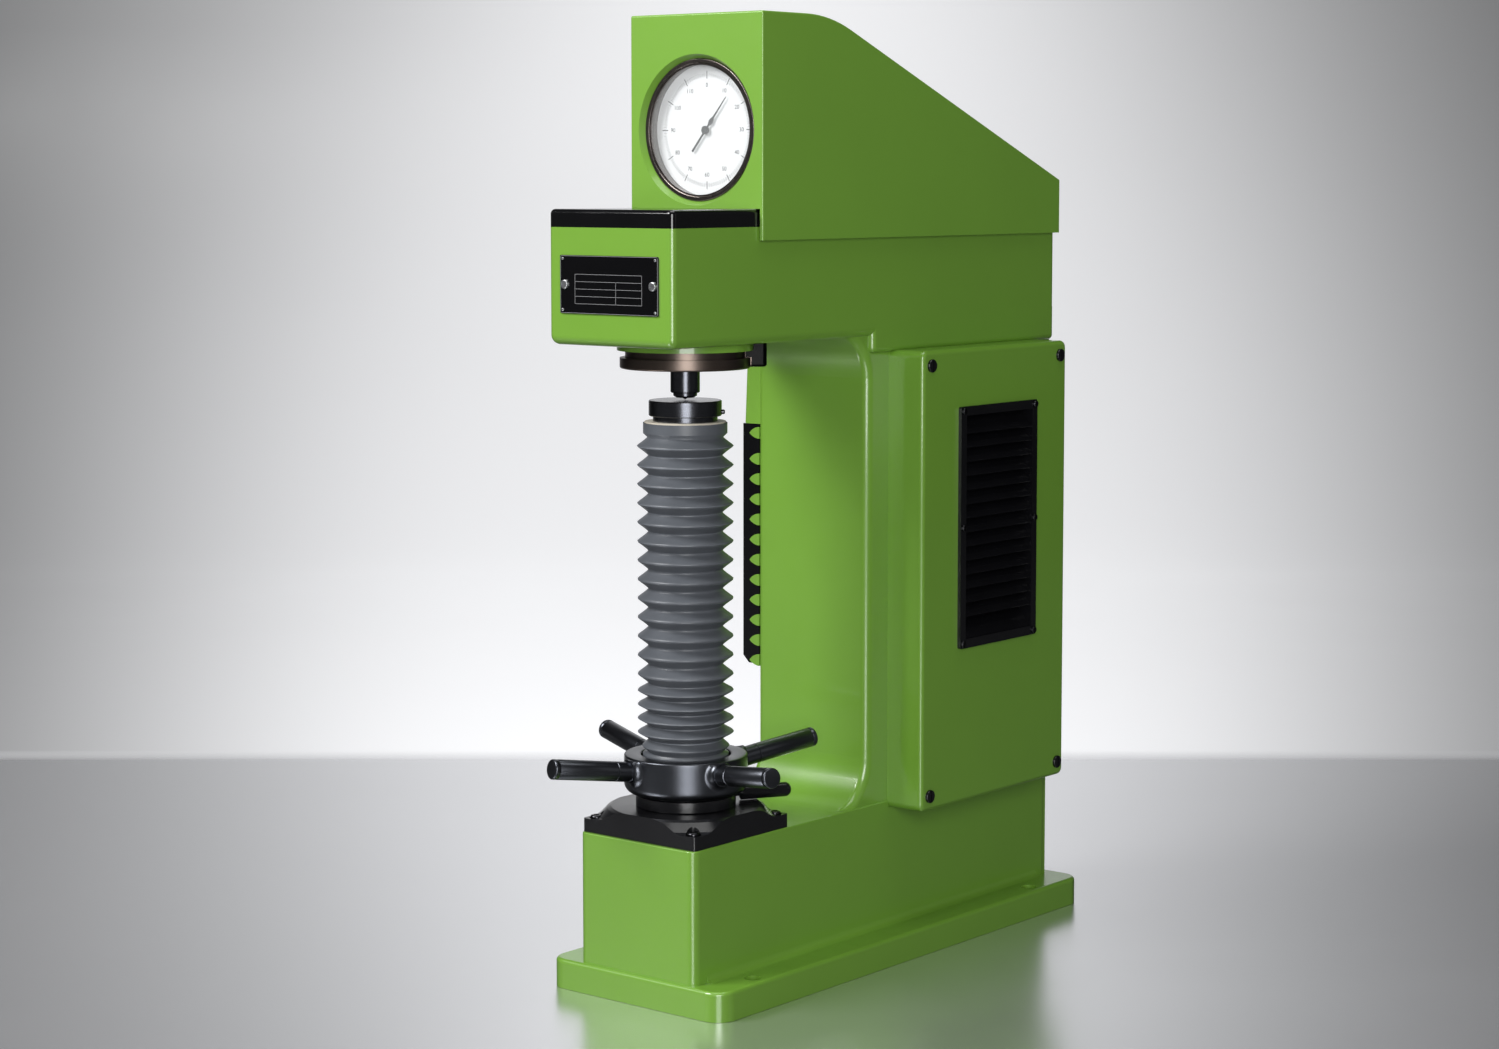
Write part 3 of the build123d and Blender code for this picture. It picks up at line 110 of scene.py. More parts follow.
class Graph:
    """A node tree that is being built."""

    def __init__(self, tree):
        self.tree = tree

    def node(self, kind, settings, sockets, out=0):
        """A new node, as a wire from one of its outputs where it has any."""
        made = self.tree.nodes.new(kind)
        for name, value in settings.items():
            setattr(made, name, value)
        for name, value in sockets.items():
            if isinstance(value, Wire):
                self.tree.links.new(value.socket, made.inputs[name])
            else:
                made.inputs[name].default_value = value
        if len(made.outputs):
            return Wire(self, made.outputs[out])
        return made

    def place(self, move=(0, 0, 0), turn=(0, 0, 0), scale=(1, 1, 1)):
        """Object coordinates, centred and turned on a piece."""
        here = self.node("ShaderNodeTexCoord", {}, {}, "Object")
        return self.node("ShaderNodeMapping", {"vector_type": "TEXTURE"},
                         {"Vector": here, "Location": move, "Rotation": turn, "Scale": scale})

    def parts(self, vector):
        """A vector's three parts."""
        first = self.node("ShaderNodeSeparateXYZ", {}, {"Vector": vector})
        return [Wire(self, first.socket.node.outputs[i]) for i in range(3)]

    def joined(self, x, y, z):
        """A vector from its three parts."""
        return self.node("ShaderNodeCombineXYZ", {}, {0: x, 1: y, 2: z})

    def grain(self, vector, scale, detail, roughness=0.5):
        """Noise over a place."""
        return self.node("ShaderNodeTexNoise", {}, {"Vector": vector, "Scale": scale,
                                                     "Detail": detail, "Roughness": roughness})

    def blend(self, share, low, high):
        """A colour between two others."""
        ends = [tone if isinstance(tone, Wire) else (*tone, 1.0) for tone in (low, high)]
        return self.node("ShaderNodeMix", {"data_type": "RGBA"},
                         {0: share, 6: ends[0], 7: ends[1]}, 2)

    def relief(self, height, depth, strength, under=None):
        """A normal that follows a height, over another normal where there is one."""
        sockets = {"Height": height, "Distance": depth, "Strength": strength}
        if under is not None:
            sockets["Normal"] = under
        return self.node("ShaderNodeBump", {}, sockets)


def finish(name, surface):
    """A material whose shader sockets come from a function that draws its nodes."""
    material = bpy.data.materials.new(name)
    material.use_nodes = True
    material.node_tree.nodes.clear()
    graph = Graph(material.node_tree)
    shader = graph.node("ShaderNodeBsdfPrincipled", {}, surface(graph))
    graph.node("ShaderNodeOutputMaterial", {}, {"Surface": shader})
    return material


def shade(tone, factor):
    """A tone made darker or lighter."""
    return tuple(min(1.0, part * factor) for part in tone)


def paint(tone, rough, coat):
    """Stoved enamel with a faint orange peel."""
    def surface(g):
        place = g.place()
        cloud = g.grain(place, scale=7.0, detail=3.0)
        peel = g.grain(place, scale=420.0, detail=1.0)
        pores = g.grain(place, scale=60.0, detail=4.0)
        return {
            "Base Color": g.blend(cloud, shade(tone, 0.95), shade(tone, 1.05)),
            "Roughness": rough + 0.10 * pores,
            "Coat Weight": coat,
            "Coat Roughness": 0.09,
            "Normal": g.relief(peel, depth=0.00012, strength=0.35,
                               under=g.relief(pores, depth=0.0006, strength=0.10)),
        }
    return surface


def lacquer(tone, rough, peel_depth):
    """Black lacquer or moulded plastic with a fine texture."""
    def surface(g):
        place = g.place()
        dust = g.grain(place, scale=25.0, detail=5.0)
        peel = g.grain(place, scale=700.0, detail=2.0)
        return {
            "Base Color": g.blend(dust, shade(tone, 0.8), shade(tone, 1.25)),
            "Roughness": rough + 0.12 * dust,
            "Normal": g.relief(peel, depth=peel_depth, strength=0.4),
        }
    return surface


def turned_metal(tone, rough, centre=(0, 0, 0), turn=(0, 0, 0), lines=2600.0,
                 lug_shade_from=beyond_everything, step_from=beyond_everything):
    """Metal with the fine rings that a lathe leaves round the Z axis of its place.

    Beyond a radius, which is smaller over the height of a step, it is painted black as painted
    shade on the bush's lug.
    """
    step_inset = 0.006
    # Painted shade: black for the lug beside the bush, which sits in shade.
    painted_lug_shade = (0.006, 0.006, 0.006)

    def surface(g):
        x, y, z = g.parts(g.place(centre, turn))
        radius = (x * x + y * y) ** 0.5
        rings = g.grain(g.joined(radius * lines, z * lines, 0.0), scale=1.0, detail=2.0)
        cloud = g.grain(g.place(), scale=30.0, detail=3.0)
        plain = g.blend(rings, shade(tone, 0.86), shade(tone, 1.1))
        # Painted shade mask: beyond this radius, and over the step, the metal is painted black.
        lug_in_shade = radius + step_inset * (z > step_from) > lug_shade_from
        return {
            "Base Color": g.blend(lug_in_shade, plain, painted_lug_shade),
            "Metallic": 1.0,
            "Roughness": rough + 0.10 * rings + 0.08 * cloud,
            "Normal": g.relief(rings, depth=0.00003, strength=0.5),
        }
    return surface


def cast_metal(tone, rough=0.55, metal=0.6):
    """A rough casting with pits."""
    def surface(g):
        place = g.place()
        pits = g.grain(place, scale=320.0, detail=4.0, roughness=0.65)
        cloud = g.grain(place, scale=14.0, detail=4.0)
        return {
            "Base Color": g.blend(cloud, shade(tone, 0.75), shade(tone, 1.2)),
            "Metallic": metal,
            "Roughness": rough + 0.15 * pits,
            "Normal": g.relief(pits, depth=0.0003, strength=0.6),
        }
    return surface


def rubber(tone, ridge, valley):
    """Rubber with a painted highlight along the ridges of its folds, and paler beads between them.
    """
    ridge_highlight_scale, valley_paleness = 2500.0, 0.6

    def surface(g):
        place = g.place()
        mottle = g.grain(place, scale=35.0, detail=5.0, roughness=0.6)
        fine = g.grain(place, scale=900.0, detail=3.0)
        x, y, _ = g.parts(place)
        radius = (x * x + y * y) ** 0.5
        # Painted highlight along the fold ridges, plus a paler tone in the valleys.
        ridge_highlight_and_pale_valleys = (radius - ridge) * ridge_highlight_scale + mottle - 0.5
        ridge_highlight_and_pale_valleys = g.node("ShaderNodeClamp", {}, {"Value": ridge_highlight_and_pale_valleys}) + valley_paleness * (radius < valley)
        plain = g.blend(mottle, shade(tone, 0.82), shade(tone, 1.18))
        return {
            "Base Color": g.blend(ridge_highlight_and_pale_valleys, plain, shade(tone, 2.3)),
            "Roughness": 0.34 + 0.14 * mottle,
            "Normal": g.relief(fine, depth=0.00015, strength=0.45),
        }
    return surface


def printed(tone, rough):
    """Enamelled sheet or print: one tone with a slight mottle."""
    def surface(g):
        mottle = g.grain(g.place(), scale=120.0, detail=3.0)
        return {
            "Base Color": g.blend(mottle, shade(tone, 0.97), shade(tone, 1.02)),
            "Roughness": rough + 0.06 * mottle,
            "Normal": g.relief(mottle, depth=0.00002, strength=0.3),
        }
    return surface


def clear_glass(g):
    smear = g.grain(g.place(), scale=9.0, detail=3.0)
    return {
        "Base Color": (0.92, 0.95, 0.95, 1.0),
        "Roughness": 0.02 + 0.05 * smear,
        "Alpha": 0.07 + 0.03 * smear,
        "Specular IOR Level": 0.6,
    }


def circuit_green(g):
    pitch, track_share = 0.0025, 0.35
    _, y, _ = g.parts(g.place(scale=(pitch, pitch, pitch)))
    tracks = ((y % 1.0) < track_share) * (g.grain(g.place(), scale=60.0, detail=0.0) > 0.5)
    pads = g.grain(g.place(), scale=300.0, detail=1.0)
    return {
        "Base Color": g.blend(tracks, (0.01, 0.09, 0.03), (0.02, 0.16, 0.06)),
        "Roughness": 0.35 + 0.1 * pads,
        "Normal": g.relief(tracks, depth=0.00005, strength=0.5),
    }


dial_turn = (math.radians(90), 0, 0)
paint_green = finish("casting_paint", paint((0.147, 0.312, 0.032), rough=0.30, coat=0.70))
hood_green = finish("hood_paint", paint((0.155, 0.328, 0.036), rough=0.32, coat=0.40))
gloss_black = finish(
    "gloss_black_plastic", lacquer((0.003, 0.003, 0.0035), rough=0.04, peel_depth=0.00001))
satin_black = finish(
    "satin_black_plastic", lacquer((0.005, 0.005, 0.006), rough=0.12, peel_depth=0.00003))
plate_black = finish(
    "anodised_black", lacquer((0.002, 0.002, 0.0025), rough=0.06, peel_depth=0.00001))
grille_black = finish(
    "grille_black_enamel", lacquer((0.004, 0.004, 0.005), rough=0.13, peel_depth=0.00003))
black_iron = finish("blacked_iron", lacquer((0.006, 0.006, 0.007), rough=0.18, peel_depth=0.0001))
hub_black = finish("hub_blued_steel", turned_metal((0.085, 0.090, 0.102), rough=0.22))
dark_chrome = finish("dark_polished_steel", turned_metal((0.095, 0.099, 0.112), rough=0.15))
bright_steel = finish("ground_steel", turned_metal((0.62, 0.62, 0.64), rough=0.20))
# The bronze ring's lug is painted black here as painted shade.
bronze = finish("bronze_ring", turned_metal(
    (0.125, 0.098, 0.083), rough=0.25, lines=1800.0, lug_shade_from=0.0673, step_from=0.6532))
zinc = finish("zinc_screws", cast_metal((0.60, 0.61, 0.62), rough=0.22, metal=1.0))
chrome = finish("brushed_bezel", turned_metal(
    (0.15, 0.13, 0.12), rough=0.18, centre=(0, 0, dial_z), turn=dial_turn))
blacked_screw = finish("blacked_screws", cast_metal((0.05, 0.05, 0.055), rough=0.16, metal=1.0))
bellows_grey = finish("bellows_rubber", rubber((0.088, 0.096, 0.109), ridge=0.0489, valley=0.0382))
cream = finish("cream_washer", printed((0.58, 0.53, 0.44), rough=0.5))
iron_weight = finish("cast_iron_weight", cast_metal((0.09, 0.09, 0.10)))
white_enamel = finish("dial_white", printed((0.74, 0.75, 0.76), rough=0.4))
dial_ink = finish("dial_ink", printed((0.012, 0.012, 0.014), rough=0.5))
pointer_black = finish(
    "pointer_black", lacquer((0.008, 0.008, 0.009), rough=0.35, peel_depth=0.00002))
glass = finish("dial_glass", clear_glass)
die_cast = finish("die_cast_alloy", cast_metal((0.42, 0.42, 0.43), rough=0.4, metal=1.0))
board = finish("circuit_board", circuit_green)
rule_grey = finish("plate_rules", printed((0.30, 0.30, 0.31), rough=0.4))

node_finishes = {
    "frame_casting": paint_green, "hood": hood_green, "side_box_body": paint_green,
    "side_box_cover": paint_green, "rear_cover": paint_green,
    "head_top_cover": gloss_black, "nameplate": plate_black, "nameplate_screws": zinc,
    "box_cover_screws": grille_black, "vent_grille": grille_black, "grille_screws": blacked_screw,
    "left_vent_cover": gloss_black, "small_cover_screws": zinc,
    "screw_flange": black_iron, "flange_screws": blacked_screw, "screw_key": bright_steel,
    "guide_sleeve": bronze, "lower_race": bright_steel, "upper_race": bright_steel,
    "bearing_balls": bright_steel, "spindle_bush": bronze, "fulcrum_pin": bright_steel,
    "fulcrum_bracket": die_cast, "gear_motor": die_cast, "motor_bracket": zinc,
    "push_rod_guide": die_cast, "damper_cylinder": bright_steel, "dial_bridge": die_cast,
    "dial_case": satin_black, "circuit_board": board, "transformer": iron_weight,
    "power_entry": satin_black, "lock_ring": black_iron, "lock_lever": satin_black,
    "handwheel_hub": hub_black, "handwheel_spokes": hub_black, "screw_nut": bronze,
    "elevating_screw": bright_steel, "bellows": bellows_grey, "bellows_top_ring": cream,
    "anvil_collar": dark_chrome, "anvil": dark_chrome, "anvil_set_screw": blacked_screw,
    "spindle": bright_steel, "measuring_arm": zinc, "indenter_holder": dark_chrome,
    "indenter_set_screw": zinc, "indenter": dark_chrome, "load_lever": die_cast,
    "weight_hanger": bright_steel, "weight_stack": iron_weight, "loading_cam": bright_steel,
    "push_rod": bright_steel, "damper_rod": bright_steel, "dial_plunger": bright_steel,
    "dial_bezel": chrome, "dial_glass": glass, "dial_face": white_enamel,
    "pointer": pointer_black, "power_rocker": satin_black,
}
for node_name, material in node_finishes.items():
    slots = nodes[node_name].data.materials
    if not len(slots):
        slots.append(material)
    for number in range(len(slots)):
        slots[number] = material


def growing(name, sizes):
    """An empty geometry tree with named inputs, its graph and a wire from each input."""
    tree = bpy.data.node_groups.new(name, "GeometryNodeTree")
    tree.interface.new_socket("Geometry", in_out="OUTPUT", socket_type="NodeSocketGeometry")
    for label, kind in sizes.items():
        tree.interface.new_socket(label, in_out="INPUT", socket_type="NodeSocket" + kind)
    graph = Graph(tree)
    source = graph.node("NodeGroupInput", {}, {}).socket.node
    return tree, graph, {label: Wire(graph, source.outputs[label]) for label in sizes}


def grown(tree, name, sizes):
    """A plain mesh object with what a geometry tree makes from these sizes."""
    piece = bpy.data.objects.new(name, bpy.data.meshes.new(name))
    bpy.context.scene.collection.objects.link(piece)
    modifier = piece.modifiers.new("rule", "NODES")
    modifier.node_group = tree
    for item in tree.interface.items_tree:
        if item.in_out == "INPUT" and item.name in sizes:
            modifier[item.identifier] = sizes[item.name]
    view = bpy.context.evaluated_depsgraph_get()
    mesh = bpy.data.meshes.new_from_object(piece.evaluated_get(view))
    piece.modifiers.clear()
    piece.data = mesh
    return piece


def piece_from(name, points, faces, material):
    """A piece from its points and faces, smooth except over sharp edges."""
    crease = math.radians(40)
    mesh = bpy.data.meshes.new(name)
    mesh.from_pydata([tuple(map(float, point)) for point in points], [], faces)
    mesh.shade_smooth()
    mesh.set_sharp_from_angle(angle=crease)
    mesh.materials.append(material)
    piece = bpy.data.objects.new(name, mesh)
    bpy.context.scene.collection.objects.link(piece)
    return piece


def hoops(rings, first, closed=True):
    """Faces between rings of points that follow each other, the last joined to the first."""
    rows, count = rings
    faces = []
    for row in range(rows if closed else rows - 1):
        for column in range(count):
            here = first + row * count
            there = first + (row + 1) % rows * count
            beside = (column + 1) % count
            faces.append((here + column, here + beside, there + beside, there + column))
    return faces


def quarter(steps, first=0):
    """Sines and cosines at equal steps of a quarter turn."""
    turns = [math.pi / 2 * step / steps for step in range(first, steps + 1)]
    return [(math.sin(turn), math.cos(turn)) for turn in turns]


def polar(radius, angle, height):
    """A point at an angle round the screw's axis."""
    return radius * math.cos(angle), radius * math.sin(angle), height


def bellows():
    """The folded sleeve: a closed skin whose radius and height follow the number of the fold."""
    tree, g, size = growing("fold_rule", {
        "Folds": "Float", "Ridge": "Float", "Valley": "Float", "Cuff": "Float", "Wall": "Float",
        "Top": "Float", "Cuff Height": "Float", "First Ridge": "Float", "Pitch": "Float",
        "Low Pitch": "Float", "Low From": "Float", "Foot": "Float", "Foot Height": "Float",
        "Foot Radius": "Float", "Around": "Int", "Along": "Int",
        "Finish": "Material"})
    # A cuff takes a small share of the way down at each end, the folds the rest
    end_share = 0.04
    softness, hollow, last_trim = 0.06, 1.2, 0.0045
    grid = g.node("GeometryNodeMeshGrid", {}, {
        "Size X": 1.0, "Size Y": 1.0, "Vertices X": size["Around"], "Vertices Y": size["Along"]})
    x, y, _ = g.parts(g.node("GeometryNodeInputPosition", {}, {}))
    turn = (x + 0.5) * (2 * math.pi)
    loop = (y + 0.5) * 2.0
    inside = loop > 1.0
    down = 1.0 - abs(loop - 1.0)
    fold = (down - end_share) / (1.0 - 2 * end_share) * size["Folds"] - 0.5
    place = size["First Ridge"] - size["Pitch"] * fold
    place = place + (size["Pitch"] - size["Low Pitch"]) * g.node(
        "ShaderNodeMath", {"operation": "MAXIMUM"}, {0: fold - size["Low From"], 1: 0.0})
    near = abs(((fold + 0.5) % 1.0) * 2.0 - 1.0)
    bead = 1.0 + softness - ((near * near) + softness * softness) ** 0.5
    swell = bead.sum("MAXIMUM", bead, 0.0) ** hollow
    last = fold > size["Folds"] - 1.5
    reach = size["Ridge"] - size["Valley"] - last * last_trim
    radius = size["Valley"] + reach * swell
    cuff = down < end_share
    place = place * (1.0 - cuff) + cuff * (
        size["Top"] - size["Cuff Height"] * (down / end_share))
    radius = radius * (1.0 - cuff) + cuff * size["Cuff"]
    foot = down > 1.0 - end_share
    place = place * (1.0 - foot) + foot * (
        size["Foot"] + (1.0 - down) / end_share * size["Foot Height"])
    radius = radius * (1.0 - foot) + foot * size["Foot Radius"]
    radius = radius - inside * size["Wall"]
    ring = g.joined(radius * turn.sum("COSINE", turn), radius * turn.sum("SINE", turn), place)
    shaped = g.node("GeometryNodeSetPosition", {}, {"Geometry": grid, "Position": ring})
    skin = g.node("GeometryNodeMergeByDistance", {}, {"Geometry": shaped, "Distance": 0.00001})
    smooth = g.node("GeometryNodeSetShadeSmooth", {}, {"Geometry": skin})
    whole = g.node("GeometryNodeRealizeInstances", {}, {"Geometry": smooth})
    dressed = g.node("GeometryNodeSetMaterial", {}, {"Geometry": whole,
                                                     "Material": size["Finish"]})
    g.node("NodeGroupOutput", {}, {"Geometry": dressed})
    piece = grown(tree, "bellows_sleeve", {
        "Folds": 18.0, "Ridge": 0.0493, "Valley": 0.0374, "Cuff": 0.0430, "Wall": 0.0012,
        "Top": 0.5865, "Cuff Height": 0.0118, "First Ridge": 0.5628, "Pitch": 0.01949,
        "Low Pitch": 0.0144, "Low From": 12.5, "Foot": 0.2408, "Foot Height": 0.0064,
        "Foot Radius": 0.0440, "Around": 97, "Along": 551,
        "Finish": bellows_grey})
    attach(piece, "frame")
    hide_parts("bellows")
    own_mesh(piece)


def handwheel_hub():
    """The hub as one casting, whose side sweeps out into a collar round each spoke."""
    outer, low, high = 0.0635, 0.2054, 0.2460
    bore, edge, foot_width, foot_top, foot_drop = 0.0262, 0.0018, 0.0115, 0.0110, 0.0105
    foot_steps, side_steps, edge_steps, around = 8, 6, 4, 160
    line = [(bore, low + 0.0006), (0.0385, low + 0.0006), (0.0500, low), (0.0512, low + 0.0002)]
    line += [(outer - foot_width + foot_width * sine, low + foot_top - foot_drop * cosine)
             for sine, cosine in quarter(foot_steps)]
    side_start = len(line) - 1 - foot_steps
    straight = high - low - foot_top - edge
    line += [(outer, low + foot_top + part * straight / side_steps)
             for part in range(1, side_steps + 1)]
    line += [(outer - edge + edge * cosine, high - edge + edge * sine)
             for sine, cosine in quarter(edge_steps, 1)]
    recess = [(0.0468, high - 0.0003), (0.0462, high - 0.001),
              (0.0460, high - 0.0055), (bore, high - 0.0055)]
    line += [(0.0560, high), (0.0480, high), *recess]
    points = [polar(radius, 2 * math.pi * step / around, height)
              for radius, height in line for step in range(around)]
    faces = hoops((len(line), around), 0)

    # The side's line by its length, where the collars find their places above and below a spoke
    side = np.array(line[side_start:-len(recess)])
    run = np.concatenate([[0], np.cumsum(np.hypot(*np.diff(side, axis=0).T))])
    slope = np.gradient(side, run, axis=0)
    below_edge = len(side) - edge_steps - 1
    axis_height = spoke_height + outer * math.tan(spoke_tilt)
    middle, rim = np.interp((axis_height, high - edge), side[:below_edge, 1], run[:below_edge])
    rim -= middle
    collar, sweep, sunk, rows, turns = 0.0112, 0.0070, 0.0002, 22, 64
    for spoke in range(spokes):
        aim = math.radians(spoke_first + 360 / spokes * spoke)
        first = len(points)
        for row in range(rows):
            share = row / (rows - 1)
            bend = share * math.pi / 2
            reach = collar + sweep * (1 - math.sin(bend))
            lift = sweep * (1 - math.cos(bend)) - sunk * (1 - share)
            for step in range(turns):
                turn = 2 * math.pi * step / turns
                across, up = reach * math.cos(turn), min(rim, reach * math.sin(turn))
                spot = [np.interp(middle + up, run, side[:, part]) for part in range(2)]
                way = [np.interp(middle + up, run, slope[:, part]) for part in range(2)]
                size = math.hypot(*way)
                radius = spot[0] + lift * way[1] / size
                height = spot[1] - lift * way[0] / size + lift * math.tan(spoke_tilt)
                points.append(polar(radius, aim + across / radius, height))
        faces += hoops((rows, turns), first, closed=False)
        last = first + (rows - 1) * turns
        for ring, radius, order in ((first, outer - 0.012, 1), (last, outer + sweep, -1)):
            centre = len(points)
            points.append(polar(radius, aim, spoke_height + radius * math.tan(spoke_tilt)))
            for step in range(turns):
                pair = (ring + step, ring + (step + 1) % turns)
                faces.append((centre, *pair[::-order]))
    piece = piece_from("handwheel_casting", points, faces, hub_black)
    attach(piece, "handwheel")
    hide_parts("handwheel_hub")


def handwheel_spokes():
    """Four turned handles, each with a fine groove near the hub and a flat end."""
    radius, root, groove, end = 0.01025, 0.0520, 0.0860, 0.1605
    groove_depth, score_depth, edge, edge_steps, around = 0.0005, 0.0003, 0.0018, 6, 48
    line = [(root, radius), (groove, radius), (groove + 0.0003, radius - groove_depth),
            (groove + 0.0011, radius - groove_depth), (groove + 0.0014, radius),
            (end - 0.0062, radius), (end - 0.0058, radius - score_depth),
            (end - 0.0052, radius - score_depth), (end - 0.0048, radius)]
    line += [(end - edge + edge * sine, radius - edge + edge * cosine)
             for sine, cosine in quarter(edge_steps)]
    points, faces = [], []
    for spoke in range(spokes):
        aim = math.radians(spoke_first + 360 / spokes * spoke)
        first = len(points)
        place = (Matrix.Translation((0, 0, spoke_height)) @ Matrix.Rotation(aim, 4, "Z")
                 @ Matrix.Rotation(-spoke_tilt, 4, "Y"))
        for reach, size in line:
            for step in range(around):
                turn = 2 * math.pi * step / around
                points.append(place @ Vector(
                    (reach, -size * math.sin(turn), size * math.cos(turn))))
        faces += hoops((len(line), around), first, closed=False)
        faces.append(tuple(range(first + around - 1, first - 1, -1)))
        faces.append(tuple(range(len(points) - around, len(points))))
    piece = piece_from("handwheel_handles", points, faces, hub_black)
    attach(piece, "handwheel")
    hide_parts("handwheel_spokes")


def dial_ticks(name, count, start, inner, outer, width):
    """Equal printed lines round the dial's axis, each a thin bar on the enamel."""
    tree, g, size = growing(name + "_rule", {
        "Count": "Int", "Start": "Float", "Inner": "Float", "Outer": "Float", "Width": "Float",
        "Depth": "Float", "Finish": "Material"})
    spots = g.node("GeometryNodePoints", {}, {"Count": size["Count"]})
    length = size["Outer"] - size["Inner"]
    bar = g.node("GeometryNodeMeshCube", {}, {
        "Size": g.joined(size["Width"], size["Depth"], length)})
    bar = g.node("GeometryNodeTransform", {}, {
        "Geometry": bar, "Translation": g.joined(0.0, 0.0, size["Inner"] + length * 0.5)})
    number = g.node("GeometryNodeInputIndex", {}, {})
    turn = size["Start"] + number * (2 * math.pi) / size["Count"]
    bars = g.node("GeometryNodeInstanceOnPoints", {}, {
        "Points": spots, "Instance": bar, "Rotation": g.joined(0.0, turn, 0.0)})
    whole = g.node("GeometryNodeRealizeInstances", {}, {"Geometry": bars})
    moved = g.node("GeometryNodeTransform", {}, {
        "Geometry": whole, "Translation": (0.0, dial_print_y, dial_z)})
    dressed = g.node("GeometryNodeSetMaterial", {}, {"Geometry": moved,
                                                     "Material": size["Finish"]})
    g.node("NodeGroupOutput", {}, {"Geometry": dressed})
    piece = grown(tree, name, {
        "Count": count, "Start": math.radians(start), "Inner": inner, "Outer": outer,
        "Width": width, "Depth": print_thickness, "Finish": dial_ink})
    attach(piece, "bezel")


def dial_number(value, angle, radius, height):
    """An upright printed number, centred at an angle from the top of the dial."""
    figure_share = 0.7
    curve = bpy.data.curves.new("figure", "FONT")
    curve.body = str(value)
    curve.size = height / figure_share
    curve.align_x = "CENTER"
    curve.align_y = "CENTER"
    curve.extrude = print_thickness / 2
    curve.resolution_u = 3
    source = bpy.data.objects.new("figure", curve)
    bpy.context.scene.collection.objects.link(source)
    mesh = bpy.data.meshes.new_from_object(source.evaluated_get(
        bpy.context.evaluated_depsgraph_get()))
    bpy.data.objects.remove(source)
    turn = math.radians(angle)
    spot = (radius * math.sin(turn), dial_print_y, dial_z + radius * math.cos(turn))
    mesh.transform(Matrix.Translation(spot) @ Matrix.Rotation(math.radians(90), 4, "X"))
    mesh.materials.clear()
    mesh.materials.append(dial_ink)
    piece = bpy.data.objects.new(f"dial_number_{value}", mesh)
    bpy.context.scene.collection.objects.link(piece)
    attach(piece, "bezel")


def dial_print():
    """Twelve numbered lines, with finer ones between them."""
    numbers = 12
    dial_ticks("dial_main_lines", numbers, 0.0, inner=0.0520, outer=0.0598, width=0.0009)
    dial_ticks("dial_half_lines", 120, 3.0, inner=0.0535, outer=0.0578, width=0.00032)
    dial_ticks("dial_fine_lines", 120, 1.5, inner=0.0545, outer=0.0570, width=0.00022)
    for number in range(numbers):
        dial_number(number * 10, 360 / numbers * number, radius=0.0455, height=0.0044)


def plate_rules():
    """Fine light lines on the nameplate: its rim, and a ruled frame of four empty rows."""
    face, proud, sunk, half = -0.1161, 0.00005, 0.0002, 0.00015
    left, right, low, high, column, rows = -0.0445, 0.0435, 0.7100, 0.7392, 0.0095, 4
    rim_side, rim_low, rim_high, rim_gap = 0.0638, 0.7007, 0.7573, 0.0007
    row = (high - low) / rows
    lines = [(left, right, low + row * step, low + row * step) for step in range(rows + 1)]
    lines += [(left, left, low, high), (right, right, low, high),
              (column, column, low, high - row)]
    for side in (-rim_side, rim_side):
        lines.append((side, side, rim_low + rim_gap, rim_high - rim_gap))
    for height in (rim_low, rim_high):
        lines.append((rim_gap - rim_side, rim_side - rim_gap, height, height))
    sides = ((0, 1, 2, 3), (7, 6, 5, 4), (0, 4, 5, 1), (1, 5, 6, 2), (2, 6, 7, 3), (3, 7, 4, 0))
    points, faces = [], []
    for start_x, end_x, start_z, end_z in lines:
        first = len(points)
        for depth in (face - proud, face + sunk):
            points += [(start_x - half, depth, start_z - half),
                       (end_x + half, depth, start_z - half),
                       (end_x + half, depth, end_z + half),
                       (start_x - half, depth, end_z + half)]
        faces += [tuple(first + corner for corner in ring) for ring in sides]
    piece = piece_from("nameplate_rules", points, faces, rule_grey)
    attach(piece, "frame")


bellows()
handwheel_hub()
handwheel_spokes()
dial_print()
plate_rules()


# Camera, floor, backdrop and lights
camera = bpy.data.objects.new("photo_camera", bpy.data.cameras.new("photo_camera"))
bpy.context.scene.collection.objects.link(camera)
bpy.context.scene.camera = camera
camera.data.sensor_width = 36.0
camera.data.lens = 71.32
camera.data.shift_y = -0.06
camera.data.clip_start = 0.05
camera.data.clip_end = 60.0
camera.location = (1.9529, -2.2924, 0.8372)
camera_drop, camera_turn = 4.996, 39.184
camera.rotation_euler = (math.radians(90 - camera_drop), 0, math.radians(camera_turn))


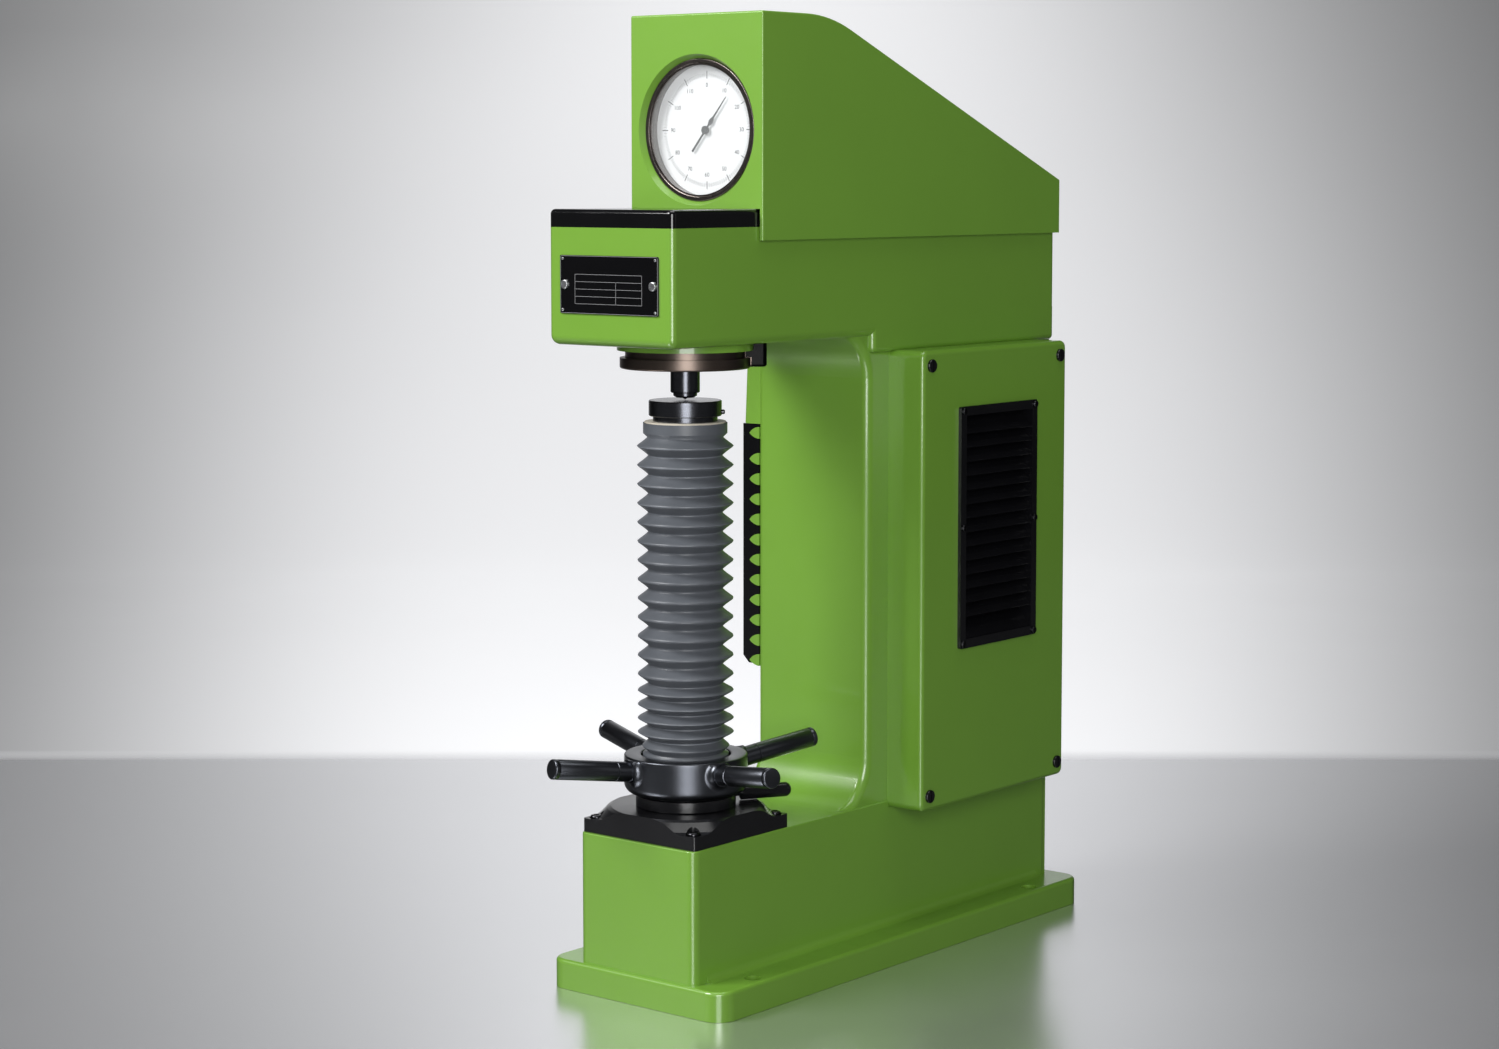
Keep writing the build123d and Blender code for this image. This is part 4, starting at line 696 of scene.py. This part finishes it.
def backdrop():
    """A floor that sweeps up into a wall behind the machine."""
    aim = camera.matrix_basis.to_3x3() @ Vector((0, 0, -1))
    away = Vector((aim.x, aim.y, 0)).normalized()
    across = Vector((away.y, -away.x, 0))
    extent, wall_from, bend, bend_steps, clearance = 9.0, 3.2, 1.2, 16, 0.0002
    line = [(-extent, 0.0), (wall_from, 0.0)]
    line += [(wall_from + bend * sine, bend * (1 - cosine))
             for sine, cosine in quarter(bend_steps, 1)]
    line.append((wall_from + bend, extent))
    points, faces = [], []
    for reach, height in line:
        for side in (-extent, extent):
            points.append(away * reach + across * side + Vector((0, 0, height - clearance)))
    for row in range(len(line) - 1):
        faces.append((2 * row, 2 * row + 1, 2 * row + 3, 2 * row + 2))
    mesh = bpy.data.meshes.new("studio_floor")
    mesh.from_pydata(points, [], faces)
    mesh.shade_smooth()
    floor = bpy.data.objects.new("studio_floor", mesh)
    bpy.context.scene.collection.objects.link(floor)

    def surface(g):
        """A pale wall with painted shade that darkens it towards its sides, and a burnished floor
        that reflects it.

        Both follow the place in the picture, and the horizon parts them.
        """
        side_scale, side_shift, rise_scale, rise_shift = 4.486, 0.03, 5.303, 0.2955
        horizon_edge, horizon = 55.0, 14.75
        wall_glow, wall_tone, floor_tone, floor_mirrored, floor_seen = 0.62, 0.44, 0.22, 0.28, 0.45
        warm, middling, cool = 0.985, 0.99, 1.01
        speck = g.grain(g.place(), scale=3.0, detail=5.0)
        x, y, z = g.parts(g.place(tuple(camera.location), tuple(camera.rotation_euler)))
        depth = x.sum("MAXIMUM", 0.0 - z, 0.5)
        side = x / depth * side_scale - side_shift
        rise = y / depth * rise_scale + rise_shift
        flat = g.node("ShaderNodeClamp", {}, {"Value": rise * -horizon_edge - horizon})
        square = side * side
        # Painted shade: the wall's tone and glow fall off towards the sides of the picture.
        wall = 1.0 / (1.0 + square * square + 1.2 * square * rise * rise)
        rays = g.node("ShaderNodeLightPath", {}, {}).socket.node.outputs
        straight, mirrored, through = [
            Wire(g, rays[f"Is {kind} Ray"]) for kind in ("Camera", "Glossy", "Transmission")]
        ways = straight + mirrored + through
        ways = ways.sum("MINIMUM", ways, 1.0)
        wall_glow_with_painted_shade = wall * (1.0 - flat) * wall_glow * ways
        ground = floor_tone + floor_mirrored * ways + floor_seen * straight
        plain = wall_tone * wall * (1.0 - flat) + ground * flat
        tone = plain * (0.97 + 0.06 * speck)
        return {"Base Color": g.joined(tone * warm, tone * middling, tone * cool),
                "Emission Color": g.joined(wall_glow_with_painted_shade * warm, wall_glow_with_painted_shade * middling, wall_glow_with_painted_shade * cool),
                "Emission Strength": 1.0,
                "Metallic": 0.9 * flat,
                "Roughness": 0.40 - 0.20 * flat + 0.1 * speck}
    mesh.materials.append(finish("studio_floor", surface))


backdrop()


def lamp(name, place, target, size, watts):
    """A rectangular area light that faces its target."""
    light = bpy.data.lights.new(name, "AREA")
    light.shape = "RECTANGLE"
    light.size, light.size_y = size
    light.energy = watts
    made = bpy.data.objects.new(name, light)
    made.location = place
    made.rotation_euler = (Vector(target) - Vector(place)).to_track_quat("-Z", "Y").to_euler()
    bpy.context.scene.collection.objects.link(made)


lamp("key_softbox", (-1.5, -2.6, 2.9), (0, 0.1, 0.6), (1.8, 1.4), 164)
lamp("camera_softbox", (2.33, -2.50, 1.15), (0, 0.0, 0.6), (1.5, 1.9), 88)
lamp("side_softbox", (2.9, 0.9, 1.5), (0, 0.2, 0.5), (1.0, 1.6), 2)
lamp("top_softbox", (0.1, 0.1, 2.7), (0, 0.2, 0.4), (1.6, 1.6), 28)

world = bpy.data.worlds.new("studio")
bpy.context.scene.world = world
world.use_nodes = True
world.node_tree.nodes.clear()
sky = Graph(world.node_tree)
ambient = sky.node("ShaderNodeBackground", {}, {"Color": (0.97, 0.98, 1.0, 1), "Strength": 0.07})
sky.node("ShaderNodeOutputWorld", {}, {"Surface": ambient})
bpy.context.scene.view_settings.view_transform = "Standard"
